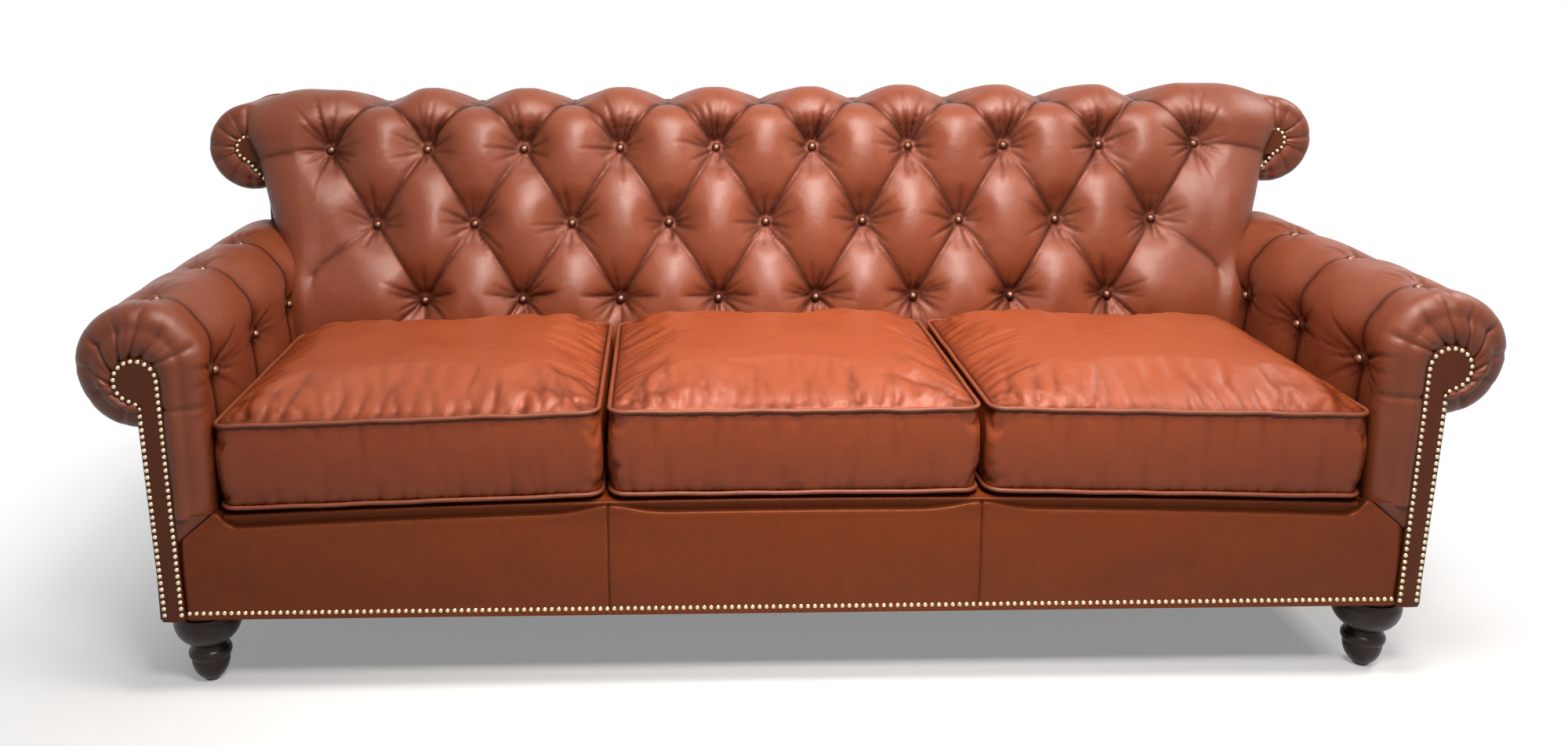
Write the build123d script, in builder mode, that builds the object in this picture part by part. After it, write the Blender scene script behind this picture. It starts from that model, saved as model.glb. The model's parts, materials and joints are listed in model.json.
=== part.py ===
from build123d import *

import os
from math import asin, cos, radians, sin, sqrt

# A three-seat leather sofa: hardwood frame on turned feet, zigzag springs, a buttoned back with
# scrolled ends, rolled and channelled arms, three loose cushions and brass trim nails.
# Millimetres. X runs across, Y from front to back, Z up. The origin is on the floor at the middle.

os.makedirs("parts", exist_ok=True)

# Seat
SEAT_WIDTH = 1868.0  # clear width between the arms
SEAT_DEPTH = 541.0  # front of the cushions to the foot of the inside back
SEAT_SETBACK = 12.0  # the cushions stand this far behind the arm fronts
DECK_HEIGHT = 331.0  # crown of the deck at the middle
DECK_DROP = 20.0  # fall of the deck from the middle to the arms
DECK_PAD = 38.0  # deck pad at its crown

# Cushions
CENTRE_WIDTH = 604.0  # room that the centre cushion takes with its piping
CUSHION_GAP = 1.0  # between neighbouring cushions, and to the arms and the back
BOXING = 138.0  # piping to piping
CROWN = 45.0  # rise of the top above its piping
BELLY = 8.0  # fullness below the lower piping
CROWN_STEPS = [(0.32, 0.3), (0.62, 0.9), (0.86, 2.0), (1.0, 3.6)]  # rise and inset per crown
CORNER = 34.0  # plan corner radius
CORNER_OPENING = 0.3  # corners open by this share of a section's inset
DRAW_IN = 3.0  # the boxing is drawn in this much half way up
PIPING = 4.5  # piping radius
COVER_WALL = 3.0  # cover leather and its wadding

# Arms
ARM_THICK = 100.0  # below the roll
ARM_ROLL = 103.0  # roll radius
ARM_ROLL_HEIGHT = 558.0  # roll centre
ARM_SLEEVE = 32.0  # wadded cover on the arm
ARM_CHANNELS = 3
ARM_CHANNEL_FIRST = 105.0  # first channel, behind the arm front
ARM_CHANNEL_PITCH = 214.0
ARM_CHANNEL_DEPTH = 20.0
ARM_CHANNEL_HALF = 62.0  # half width of a channel
ARM_BUTTON_DROP = 33.0  # lower buttons, below the roll centre
ARM_BUTTON_SEAT = 14.2  # depth of a button's seat in its channel
ARM_BAR = 56.0  # radius of the round arm rail
ARM_LEG_LOW = 318.0  # lower edge of the arm cover inside

# Back
BACK_HEIGHT = 928.0  # top of the roll
BACK_RECLINE = 18.8  # degrees from upright
BACK_BREAK = 516.0  # the inside back starts to lean here
BACK_LOW = 400.0  # lower edge of the buttoned cover
BACK_ROLL = 100.0  # radius of the roll over the top
BACK_PAD = 52.0  # buttoned cover and its wadding
BACK_FOAM = 34.0
BACK_DEPTH = 236.0  # scroll front to outside back
BACK_TOP_SLOPE = 8.0  # degrees that the top falls to the rear
BACK_TOP_EDGE = 38.0  # thickness of the cover at its rear top edge
WEBBING = 2.0
WEBBING_WIDTH = 50.0
WEBBING_STRAPS = 5

# Buttoning
BUTTONS_LOW_ROW = 8  # each row up has one more
BUTTON_ROWS = 3
BUTTON_PITCH = 198.0
LOW_ROW_UP = 12.0  # lowest row above the break, along the face
TOP_ROW_DOWN = 41.0  # top row below the start of the roll
BUTTON_DEPTH = 38.0
BUTTON = 9.0  # button radius
BUTTON_RISE = 7.0
DIMPLE = 36.0  # mouth radius of a button's hollow
PLEAT_DEPTH = 22.0
PLEAT_HALF = 44.0  # half width of a pleat's fold

# Back scrolls
SCROLL = 89.0  # radius
SCROLL_DROP = 27.0  # scroll top below the back top
SCROLL_OUT = 31.0  # scroll centre outside the arm's outer face
SCROLL_SLEEVE = 12.0

# Front facings, keyhole panels and trim nails
FACING = 12.0  # padded facing on the posts
PANEL_PROUD = 4.0  # keyhole panels stand this far out of the facing
ARM_HEAD = 39.0  # head radius of an arm's keyhole panel
ARM_HEAD_DROP = 17.0  # head centre below the roll centre
SCROLL_HEAD = 30.0
STEM_LOW = 38.0  # stem width at the bottom
STEM_EDGE = 8.0  # stem's outer edge inside the arm's outer face, at the bottom
STEM_FLARE = 5.0  # stem's outer edge past the arm's outer face, under the head
HEAD_TURN = -75.0  # degrees round the head where the stem's outer edge leaves it
NAIL = 3.7  # nail head radius
NAIL_RISE = 2.5
NAIL_SHANK = 0.7
NAIL_LENGTH = 8.0
NAIL_PITCH = 11.3
NAIL_EDGE = 5.5  # nail line inside a panel's edge
BASE_NAIL_UP = 12.0  # bottom nail row above the lower edge

# Border and panels
BORDER_SETBACK = 1.0  # border behind the arm facings
BORDER_GAP = 8.0  # border top below the deck
MITRE_DROP = 46.0  # fall of the corner seam from the cushion to the keyhole panel
SIDE_PANEL = 5.0
OUTSIDE_BACK = 6.0

# Frame
RAIL = 26.0  # rail thickness
POST = 24.0  # arm front post thickness
BACK_POST = 60.0
SIDE_RAIL = 28.0
SIDE_RAIL_HEIGHT = 133.0
SPRING_RAIL_HEIGHT = 103.0
UPRIGHT = 25.0
UPRIGHT_WIDTH = 60.0
UPRIGHT_INNER = 311.0  # inner pair of uprights from the middle
UPRIGHT_OUTER = 778.0
TOP_RAIL = 28.0
TOP_RAIL_HEIGHT = 70.0
TOP_RAIL_DOWN = 34.0  # top rail below the start of the roll
REAR_TOP_RAIL = 66.0  # height of the rail under the rear top edge
BLOCK = 110.0  # leg length of a corner block
BLOCK_HEIGHT = 48.0
DUST_COVER = 2.0

# Springs
SPRINGS = 12
SPRING_WIRE = 2.1  # wire radius
SPRING_WIDTH = 48.0
SPRING_STEP = 24.0  # from one cross run to the next
CLIP_LENGTH = 28.0
CLIP_WIDTH = 16.0
CLIP_HEIGHT = 7.0

# Feet
FOOT_HEIGHT = 135.0
FOOT_BOWL = 55.0  # radius
FOOT_BEAD = 35.0
FOOT_NECK = 27.0
FOOT_TOE = 15.0
FOOT_BOWL_HEIGHT = 68.0
FOOT_BEAD_DOWN = 16.0  # widest line of the bead below the bowl
FOOT_BEAD_HALF = 9.0  # half height of the bead
FOOT_RIM = 22.0  # widest line of the bowl below the frame
FOOT_COLLAR = 10.0  # height of the collar on the bowl
FOOT_LIP = 4.0  # small shoulders of the turning
FOOT_INSET_X = 58.0  # foot centre inside the arm's outer face
FOOT_INSET_Y = 62.0  # foot centre behind the arm facing
GLIDE = 12.0
GLIDE_HEIGHT = 4.0
BOLT = 4.0
BOLT_IN_FOOT = 36.0
BOLT_IN_BLOCK = 32.0

# Clearances
CLEAR = 0.3  # between soft or curved neighbours
BOLT_CLEAR = 0.1

# Places worked out from the sizes above
LEAN_SIN = sin(radians(BACK_RECLINE))
LEAN_COS = cos(radians(BACK_RECLINE))
arm_in = SEAT_WIDTH / 2
arm_out = arm_in + ARM_THICK
roll_x = arm_in + ARM_ROLL
roll_z = ARM_ROLL_HEIGHT
scroll_x = arm_out + SCROLL_OUT
scroll_z = BACK_HEIGHT - SCROLL_DROP - SCROLL
scroll_in = scroll_x - SCROLL

# Front to back, as distances from the tips of the front nails
facing_back = NAIL_RISE + PANEL_PROUD
cushion_back = facing_back + SEAT_SETBACK
inside_back = cushion_back + SEAT_DEPTH
scroll_up = (scroll_z - BACK_BREAK + BACK_PAD * LEAN_SIN) / LEAN_COS
scroll_cut = inside_back + scroll_up * LEAN_SIN + BACK_PAD * LEAN_COS + CLEAR
scroll_facing = scroll_cut + CLEAR + NAIL_RISE + PANEL_PROUD
total_depth = scroll_facing + BACK_DEPTH

front_y = -total_depth / 2
rear_y = total_depth / 2
panel_y = front_y + NAIL_RISE
facing_y = front_y + facing_back
post_y = facing_y + FACING
post_rear_y = post_y + POST
border_y = facing_y + BORDER_SETBACK
cushion_y = front_y + cushion_back
back_y = front_y + inside_back
scroll_cut_y = front_y + scroll_cut
scroll_facing_y = front_y + scroll_facing
scroll_panel_y = scroll_facing_y - PANEL_PROUD
back_post_y = scroll_facing_y + FACING
rear_in_y = rear_y - OUTSIDE_BACK

# Heights and the frame's bay
frame_low = FOOT_HEIGHT + DUST_COVER
rail_top = DECK_HEIGHT - DECK_PAD - CLIP_HEIGHT - CLEAR
post_in = arm_in + ARM_SLEEVE + CLEAR
post_out = arm_out - SIDE_PANEL - CLEAR
side_rail_in = post_out - SIDE_RAIL
side_rail_top = frame_low + SIDE_RAIL_HEIGHT
deck_arc = (arm_in**2 + DECK_DROP**2) / (2 * DECK_DROP)

# Depths behind the puffed face of the inside back
foam_front = BACK_PAD + CLEAR
foam_rear = foam_front + BACK_FOAM
strap_front = foam_rear + CLEAR
upright_front = strap_front + WEBBING
upright_rear = upright_front + UPRIGHT
roll_up = (BACK_HEIGHT - BACK_ROLL + BACK_ROLL * LEAN_SIN - BACK_BREAK) / LEAN_COS
row_step = (roll_up - TOP_ROW_DOWN - LOW_ROW_UP) / (BUTTON_ROWS - 1)


def lean(up, depth):
    """The (y, z) place up the leaning inside back and behind its puffed face."""
    y = back_y + up * LEAN_SIN + depth * LEAN_COS
    z = BACK_BREAK + up * LEAN_COS - depth * LEAN_SIN
    return (y, z)


def lean_up(height, depth):
    """How far up the inside back a height lies, at a depth behind its face."""
    return (height - BACK_BREAK + depth * LEAN_SIN) / LEAN_COS


def lean_y(height, depth):
    """Where the inside back stands at a height, at a depth behind its face."""
    return lean(lean_up(height, depth), depth)[0]


def deck_z(x):
    """Height of the crowned deck at a distance from the middle."""
    return DECK_HEIGHT - deck_arc + sqrt(deck_arc**2 - x**2)


LEAN_PLANE = Plane(origin=(0, *lean(0, 0)), x_dir=(1, 0, 0), z_dir=(0, -LEAN_COS, LEAN_SIN))


def facing_plane(y):
    """A plane across the sofa at y: X to the right, Z up, its normal to the front."""
    return Plane.XZ.offset(-y)


def around(x, z, radius, angle):
    """A point on a circle in the front view, the angle in degrees from the outer side."""
    return (x + radius * cos(radians(angle)), z + radius * sin(radians(angle)))


def save(piece, name):
    """Label a piece and write it."""
    piece.part.label = name
    export_step(piece.part, f"parts/{name}.step")


def mirrored(piece):
    """The left-hand twin of a right-hand piece."""
    with BuildPart() as twin:
        mirror(piece.part, about=Plane.YZ)
    return twin


def save_pair(piece, name):
    """Write a right-hand piece and its left-hand twin."""
    save(piece, f"{name}_right")
    save(mirrored(piece), f"{name}_left")


def block(x, y, z):
    """A rectangular piece between two ends of each range."""
    with BuildPart() as board:
        with BuildSketch(Plane.XY.offset(z[0])):
            with Locations(((x[0] + x[1]) / 2, (y[0] + y[1]) / 2)):
                Rectangle(x[1] - x[0], y[1] - y[0])
        extrude(amount=z[1] - z[0])
    return board


def cusp(half, depth):
    """A pleat's section: two full puffs meeting in a crease, open above."""
    rise = depth / 2
    bulge = depth / 5
    with BuildSketch() as section:
        with BuildLine():
            left = ThreePointArc((-half, 0), (-half / 2 + bulge / 2, bulge - depth / 2), (0, -depth))
            right = ThreePointArc(left @ 1, (half / 2 - bulge / 2, bulge - depth / 2), (half, 0))
            Polyline(right @ 1, (half, rise), (-half, rise), left @ 0)
        make_face()
    return section.sketch


# Hardwood frame
front_rail = block((-post_in, post_in), (post_y, post_y + RAIL), (frame_low, rail_top))
rear_rail = block((-post_in, post_in), (rear_in_y - RAIL, rear_in_y), (frame_low, side_rail_top))
side_rail = block(
    (side_rail_in, post_out), (post_rear_y, rear_in_y - RAIL), (frame_low, side_rail_top)
)
save(front_rail, "front_rail")
save(rear_rail, "rear_rail")
save_pair(side_rail, "side_rail")

spring_rail_y = (lean_y(rail_top, upright_front) - CLIP_WIDTH, lean_y(rail_top, upright_rear))
spring_rail = block(
    (-side_rail_in, side_rail_in), spring_rail_y, (rail_top - SPRING_RAIL_HEIGHT, rail_top)
)
save(spring_rail, "spring_rail")

foot_x = arm_out - FOOT_INSET_X
foot_front_y = facing_y + FOOT_INSET_Y
foot_rear_y = rear_in_y - (foot_front_y - post_y)
FOOT_PLACES = {
    "front_left": (-foot_x, foot_front_y),
    "front_right": (foot_x, foot_front_y),
    "rear_left": (-foot_x, foot_rear_y),
    "rear_right": (foot_x, foot_rear_y),
}
block_front_y = post_y + RAIL
block_rear_y = rear_in_y - RAIL
with BuildPart() as corner_blocks:
    with BuildSketch(Plane.XY.offset(frame_low)):
        for side in (-1, 1):
            for y, way in ((block_front_y, 1), (block_rear_y, -1)):
                corner = (side * side_rail_in, y)
                along = (side * (side_rail_in - BLOCK), y)
                deep = (side * side_rail_in, y + way * BLOCK)
                with BuildLine():
                    Polyline(corner, along, deep, close=True)
                make_face()
    extrude(amount=BLOCK_HEIGHT)
    with BuildSketch(Plane.XY.offset(frame_low)):
        with Locations(*FOOT_PLACES.values()):
            Circle(BOLT + BOLT_CLEAR)
    extrude(amount=BLOCK_HEIGHT, mode=Mode.SUBTRACT)
save(corner_blocks, "corner_blocks")

with BuildPart() as arm_front_post:
    with BuildSketch(facing_plane(post_rear_y)):
        with Locations(((post_in + post_out) / 2, (frame_low + roll_z) / 2)):
            Rectangle(post_out - post_in, roll_z - frame_low)
        with Locations((roll_x, roll_z)):
            Circle(ARM_ROLL - ARM_SLEEVE - CLEAR)
    extrude(amount=POST)
save_pair(arm_front_post, "arm_front_post")

with BuildPart() as arm_top_rail:
    with BuildSketch(facing_plane(back_post_y)):
        with Locations((roll_x, roll_z)):
            Circle(ARM_BAR)
    extrude(amount=back_post_y - post_rear_y)
save_pair(arm_top_rail, "arm_top_rail")


def scroll_board(rear, thickness, low):
    """A back post: an upright board with a round head that carries the scroll."""
    with BuildPart() as board:
        with BuildSketch(facing_plane(rear)):
            with Locations(((post_in + post_out) / 2, (low + scroll_z - CLEAR) / 2)):
                Rectangle(post_out - post_in, scroll_z - CLEAR - low)
            with Locations((scroll_x, scroll_z)):
                Circle(SCROLL - SCROLL_SLEEVE - CLEAR)
        extrude(amount=thickness)
    return board


save_pair(scroll_board(back_post_y + BACK_POST, BACK_POST, side_rail_top), "back_post")
save_pair(scroll_board(rear_in_y, RAIL, frame_low), "rear_post")

with BuildPart() as back_top_rail:
    with BuildSketch(Plane.YZ):
        with BuildLine():
            Polyline(
                lean(roll_up - TOP_RAIL_DOWN - TOP_RAIL_HEIGHT, upright_rear),
                lean(roll_up - TOP_RAIL_DOWN, upright_rear),
                lean(roll_up - TOP_RAIL_DOWN, upright_rear + TOP_RAIL),
                lean(roll_up - TOP_RAIL_DOWN - TOP_RAIL_HEIGHT, upright_rear + TOP_RAIL),
                close=True,
            )
        make_face()
    extrude(amount=post_in, both=True)
save(back_top_rail, "back_top_rail")

with BuildPart() as back_uprights:
    for x in (-UPRIGHT_OUTER, -UPRIGHT_INNER, UPRIGHT_INNER, UPRIGHT_OUTER):
        with BuildSketch(Plane.YZ.offset(x)):
            with BuildLine():
                Polyline(
                    (lean_y(rail_top, upright_front), rail_top),
                    lean(roll_up - TOP_RAIL_DOWN, upright_front),
                    lean(roll_up - TOP_RAIL_DOWN, upright_rear),
                    (lean_y(rail_top, upright_rear), rail_top),
                    close=True,
                )
            make_face()
        extrude(amount=UPRIGHT_WIDTH / 2, both=True)
save(back_uprights, "back_uprights")

# Springs, clips, webbing and the deck
spring_z = rail_top + SPRING_WIRE
spring_front = post_y + RAIL / 2
spring_rear = spring_rail_y[0] + CLIP_WIDTH / 2
spring_runs = round((spring_rear - spring_front) / SPRING_STEP)
spring_step = (spring_rear - spring_front) / spring_runs
spring_turn = spring_step / 2
spring_side = SPRING_WIDTH / 2 - spring_turn
spring_pitch = SEAT_WIDTH / SPRINGS
SPRING_PLACES = [(i + 0.5) * spring_pitch - arm_in for i in range(SPRINGS)]

with BuildPart() as zigzag:
    with BuildLine(Plane.XY.offset(spring_z)) as wire_path:
        for run in range(spring_runs + 1):
            y = spring_front + run * spring_step
            way = 1 if run % 2 == 0 else -1
            Line((-way * spring_side, y), (way * spring_side, y))
            if run < spring_runs:
                ThreePointArc(
                    (way * spring_side, y),
                    (way * (spring_side + spring_turn), y + spring_turn),
                    (way * spring_side, y + spring_step),
                )
    with BuildSketch(Plane(origin=(-spring_side, spring_front, spring_z), z_dir=(1, 0, 0))):
        Circle(SPRING_WIRE)
    sweep(path=wire_path.line)
with BuildPart() as seat_springs:
    with Locations(*[(x, 0, 0) for x in SPRING_PLACES]):
        add(zigzag.part)
save(seat_springs, "seat_springs")

with BuildPart() as spring_clips:
    for y in (spring_front, spring_rear):
        for x in SPRING_PLACES:
            with BuildSketch(Plane.YZ.offset(x)):
                with Locations((y, rail_top + CLIP_HEIGHT / 2)):
                    Rectangle(CLIP_WIDTH, CLIP_HEIGHT)
                with Locations((y, spring_z)):
                    Circle(SPRING_WIRE + CLEAR, mode=Mode.SUBTRACT)
                with Locations((y, rail_top)):
                    Rectangle(2 * (SPRING_WIRE + CLEAR), 2 * SPRING_WIRE, mode=Mode.SUBTRACT)
            extrude(amount=CLIP_LENGTH / 2, both=True)
save(spring_clips, "spring_clips")

strap_low = lean_up(BACK_LOW, upright_front)
strap_step = (roll_up - TOP_RAIL_DOWN - WEBBING_WIDTH - strap_low) / (WEBBING_STRAPS - 1)
with BuildPart() as back_webbing:
    for i in range(WEBBING_STRAPS):
        low = strap_low + i * strap_step
        with BuildSketch(Plane.YZ):
            with BuildLine():
                Polyline(
                    lean(low, strap_front),
                    lean(low + WEBBING_WIDTH, strap_front),
                    lean(low + WEBBING_WIDTH, upright_front),
                    lean(low, upright_front),
                    close=True,
                )
            make_face()
        extrude(amount=UPRIGHT_OUTER + UPRIGHT_WIDTH / 2, both=True)
save(back_webbing, "back_webbing")

deck_half = arm_in - CLEAR
deck_low = DECK_HEIGHT - DECK_PAD
deck_front_y = post_y + CLEAR
deck_rear_y = lean_y(deck_low, upright_front) - CLEAR
with BuildPart() as deck_pad:
    with BuildSketch(facing_plane(deck_rear_y)):
        with BuildLine():
            crown = ThreePointArc(
                (-deck_half, deck_z(deck_half)), (0, DECK_HEIGHT), (deck_half, deck_z(deck_half))
            )
            Polyline(crown @ 1, (deck_half, deck_low), (-deck_half, deck_low), crown @ 0)
        make_face()
    extrude(amount=deck_rear_y - deck_front_y)
save(deck_pad, "deck_pad")

# Seat cushions: crowned lofts with drawn-in boxing, on the crowned deck
piping_room = 2 * PIPING + CLEAR
cushion_length = SEAT_DEPTH - 2 * piping_room - CUSHION_GAP + PIPING
cushion_mid_y = cushion_y + PIPING + cushion_length / 2
centre_half = CENTRE_WIDTH / 2
end_mid = (centre_half + arm_in) / 2
end_tilt = asin(end_mid / deck_arc)
end_lean = (BELLY + BOXING + PIPING) * sin(end_tilt)
CUSHIONS = {
    "left": (-end_mid, arm_in - centre_half - 2 * end_lean),
    "centre": (0.0, CENTRE_WIDTH),
    "right": (end_mid, arm_in - centre_half - 2 * end_lean),
}
# Heights of the sections, and how far each lies inside the piping line
LOWER_PIPING = BELLY
UPPER_PIPING = BELLY + BOXING
CUSHION_LEVELS = [
    (0, 2 * BELLY),
    (LOWER_PIPING, 0),
    (LOWER_PIPING + BOXING / 2, DRAW_IN),
    (UPPER_PIPING, 0),
]
CUSHION_LEVELS += [(UPPER_PIPING + rise * CROWN, inset * CROWN) for rise, inset in CROWN_STEPS]


def cushion_plane(x):
    """The plane under a cushion, touching the crowned deck."""
    tilt = asin(x / deck_arc)
    origin = (x, cushion_mid_y, deck_z(x) + CLEAR)
    return Plane(origin=origin, x_dir=(cos(tilt), 0, -sin(tilt)), z_dir=(sin(tilt), 0, cos(tilt)))


def cushion_form(x, width, inset):
    """A cushion's body, drawn in all round by an inset."""
    with BuildPart() as form:
        for height, edge in CUSHION_LEVELS:
            sink = min(max(LOWER_PIPING + BOXING / 2 - height, -inset), inset)
            with BuildSketch(cushion_plane(x).offset(height + sink)):
                RectangleRounded(
                    width - 2 * (edge + inset),
                    cushion_length - 2 * (edge + inset),
                    CORNER + CORNER_OPENING * edge - inset,
                )
        loft(ruled=True)
    return form


for name, (x, room) in CUSHIONS.items():
    width = room - 2 * piping_room - 2 * CUSHION_GAP
    with BuildPart() as cushion_cover:
        add(cushion_form(x, width, 0).part)
        add(cushion_form(x, width, COVER_WALL).part, mode=Mode.SUBTRACT)
    save(cushion_cover, f"cushion_cover_{name}")
    save(cushion_form(x, width, COVER_WALL + CLEAR), f"cushion_core_{name}")
    with BuildPart() as cushion_piping:
        for height in (LOWER_PIPING, UPPER_PIPING):
            reach = PIPING + CLEAR
            with BuildSketch(cushion_plane(x).offset(height), mode=Mode.PRIVATE) as seam:
                RectangleRounded(width + 2 * reach, cushion_length + 2 * reach, CORNER + reach)
            seam_wire = seam.sketch.face().outer_wire()
            with BuildSketch(Plane(origin=seam_wire @ 0, z_dir=seam_wire % 0)):
                Circle(PIPING)
            sweep(path=seam_wire)
    save(cushion_piping, f"cushion_piping_{name}")

# Buttoned back
roll_centre = lean(roll_up, BACK_ROLL)
top_angle = 90 - BACK_TOP_SLOPE
start_angle = 180 - BACK_RECLINE
middle_angle = (top_angle + start_angle) / 2


def roll_point(radius, angle):
    """A point on the roll over the top, in the side view."""
    return around(*roll_centre, radius, angle)


def rear_of(point):
    """Where the sloping top that leaves the roll at a point meets the outside back."""
    fall = (rear_in_y - point[0]) * sin(radians(BACK_TOP_SLOPE)) / cos(radians(BACK_TOP_SLOPE))
    return (rear_in_y, point[1] - fall)


rear_top = rear_of(roll_point(BACK_ROLL, top_angle))
cover_inner = BACK_ROLL - BACK_PAD
pad_half = scroll_x
pad_top_half = scroll_in - CLEAR
ROW_UPS = [LOW_ROW_UP + i * row_step for i in range(BUTTON_ROWS)]
BUTTON_PLACES = []
for row, up in enumerate(ROW_UPS):
    count = BUTTONS_LOW_ROW + row
    for i in range(count):
        BUTTON_PLACES.append(((i - (count - 1) / 2) * BUTTON_PITCH, up))
top_count = BUTTONS_LOW_ROW + BUTTON_ROWS - 2
TOP_PLEATS = [(i - (top_count - 1) / 2) * BUTTON_PITCH for i in range(top_count)]
diagonal = Vector(BUTTON_PITCH / 2, row_step)
pleat_low = ROW_UPS[0] - LOW_ROW_UP
pleat_high = roll_up + PLEAT_HALF

with BuildPart() as back_cover:
    with BuildSketch(Plane.YZ):
        with BuildLine():
            face = Polyline((back_y, BACK_LOW), (back_y, BACK_BREAK), lean(roll_up, 0))
            over = ThreePointArc(
                face @ 1, roll_point(BACK_ROLL, middle_angle), roll_point(BACK_ROLL, top_angle)
            )
            edge = Polyline(over @ 1, rear_top, (rear_in_y, rear_top[1] - BACK_TOP_EDGE))
            under = Line(edge @ 1, roll_point(cover_inner, top_angle))
            inner = ThreePointArc(
                under @ 1, roll_point(cover_inner, middle_angle), lean(roll_up, BACK_PAD)
            )
            Polyline(inner @ 1, (lean_y(BACK_LOW, BACK_PAD), BACK_LOW), face @ 0)
        make_face()
    extrude(amount=pad_half, both=True)
    # The outer ends stop at the scrolls and fit round the arms
    with BuildSketch(facing_plane(rear_y)):
        for side in (-1, 1):
            with Locations((side * (pad_top_half + pad_half), BACK_HEIGHT / 2)):
                Rectangle(2 * pad_half, 2 * BACK_HEIGHT)
    extrude(amount=rear_y - scroll_cut_y, mode=Mode.SUBTRACT)
    with BuildSketch(facing_plane(scroll_cut_y)):
        for side in (-1, 1):
            with Locations((side * roll_x, roll_z)):
                Circle(ARM_ROLL + CLEAR)
            with Locations((side * (arm_in - CLEAR + roll_x / 2), roll_z / 2)):
                Rectangle(roll_x, roll_z)
    extrude(amount=scroll_cut_y - back_y + BACK_PAD, mode=Mode.SUBTRACT)
    # Diagonal pleats, from row to row
    for way in (-1, 1):
        for i in range(BUTTONS_LOW_ROW + 1):
            foot = way * (i - BUTTONS_LOW_ROW / 2 - 0.5) * BUTTON_PITCH
            run = Vector(way * diagonal.X, diagonal.Y)
            start = Vector(foot, ROW_UPS[0]) + run * ((pleat_low - ROW_UPS[0]) / run.Y)
            length = run.length * (pleat_high - pleat_low) / run.Y
            along = LEAN_PLANE.from_local_coords(start + run) - LEAN_PLANE.from_local_coords(start)
            across = LEAN_PLANE.z_dir.cross(along)
            with BuildSketch(Plane(LEAN_PLANE.from_local_coords(start), x_dir=across, z_dir=along)):
                add(cusp(PLEAT_HALF, PLEAT_DEPTH))
            extrude(amount=length, mode=Mode.SUBTRACT)
    # Upright pleats below the lowest row
    with BuildSketch(Plane.XY.offset(BACK_LOW)):
        for i in range(BUTTONS_LOW_ROW):
            x = (i - (BUTTONS_LOW_ROW - 1) / 2) * BUTTON_PITCH
            with Locations(Location((x, back_y, 0), (0, 0, 180))):
                add(cusp(PLEAT_HALF / 2, PLEAT_DEPTH / 2))
    extrude(amount=BACK_BREAK - BACK_LOW, mode=Mode.SUBTRACT)
    # Pleats over the top
    for x in TOP_PLEATS:
        with BuildLine(Plane.YZ.offset(x)) as pleat_path:
            arch = ThreePointArc(
                lean(roll_up, 0), roll_point(BACK_ROLL, middle_angle), roll_point(BACK_ROLL, top_angle)
            )
            Line(arch @ 1, rear_top)
        with BuildSketch(
            Plane((x, *lean(roll_up, 0)), x_dir=(-1, 0, 0), z_dir=(0, LEAN_SIN, LEAN_COS))
        ):
            add(cusp(PLEAT_HALF, PLEAT_DEPTH))
        sweep(path=pleat_path.line, mode=Mode.SUBTRACT)
    # Button hollows
    with Locations(*[LEAN_PLANE.location * Pos(x, up, -BUTTON_DEPTH) for x, up in BUTTON_PLACES]):
        Cone(
            BUTTON + CLEAR,
            DIMPLE,
            BUTTON_DEPTH,
            align=(Align.CENTER, Align.CENTER, Align.MIN),
            mode=Mode.SUBTRACT,
        )
save(back_cover, "back_cover")


def domed(radius, rise, shank, length):
    """A domed head on a flat seat at the origin, rising along Z, with a shank below."""
    ball = (radius**2 + rise**2) / (2 * rise)
    half = asin(radius / ball) / 2
    shoulder = (ball * sin(half), rise - ball + ball * cos(half))
    with BuildPart() as head:
        with BuildSketch(Plane.XZ):
            with BuildLine():
                dome = ThreePointArc((radius, 0), shoulder, (0, rise))
                Polyline(dome @ 1, (0, -length), (shank, -length), (shank, 0), dome @ 0)
            make_face()
        revolve(axis=Axis.Z)
    return head.part


button = domed(BUTTON, BUTTON_RISE, BUTTON / 2, CLEAR)
with BuildPart() as back_buttons:
    with Locations(
        *[LEAN_PLANE.location * Pos(x, up, CLEAR - BUTTON_DEPTH) for x, up in BUTTON_PLACES]
    ):
        add(button)
save(back_buttons, "back_buttons")

with BuildPart() as back_foam:
    with BuildSketch(Plane.YZ):
        with BuildLine():
            Polyline(
                (lean_y(BACK_LOW, foam_front), BACK_LOW),
                lean(roll_up, foam_front),
                lean(roll_up, foam_rear),
                (lean_y(BACK_LOW, foam_rear), BACK_LOW),
                close=True,
            )
        make_face()
    extrude(amount=arm_in - CLEAR, both=True)
save(back_foam, "back_foam")

rear_top_rail_top = rear_top[1] - BACK_TOP_EDGE - RAIL * sin(radians(BACK_TOP_SLOPE)) - CLEAR
rear_top_rail = block(
    (-post_in, post_in),
    (rear_in_y - RAIL, rear_in_y),
    (rear_top_rail_top - REAR_TOP_RAIL, rear_top_rail_top),
)
save(rear_top_rail, "rear_top_rail")


# Rolls: arms and back scrolls share one section, a leg on the inside and most of a circle
def roll_outline(x, z, radius, low):
    """The outer line of a roll's section, from the foot of its leg to its outer seam."""
    seam = (arm_out, z - sqrt(radius**2 - (arm_out - x) ** 2))
    Line((x - radius, low), (x - radius, z))
    ThreePointArc((x - radius, z), around(x, z, radius, 135), around(x, z, radius, 90))
    ThreePointArc(around(x, z, radius, 90), around(x, z, radius, 45), around(x, z, radius, 0))
    ThreePointArc(around(x, z, radius, 0), around(x, z, radius, -45), seam)
    return seam


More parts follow.
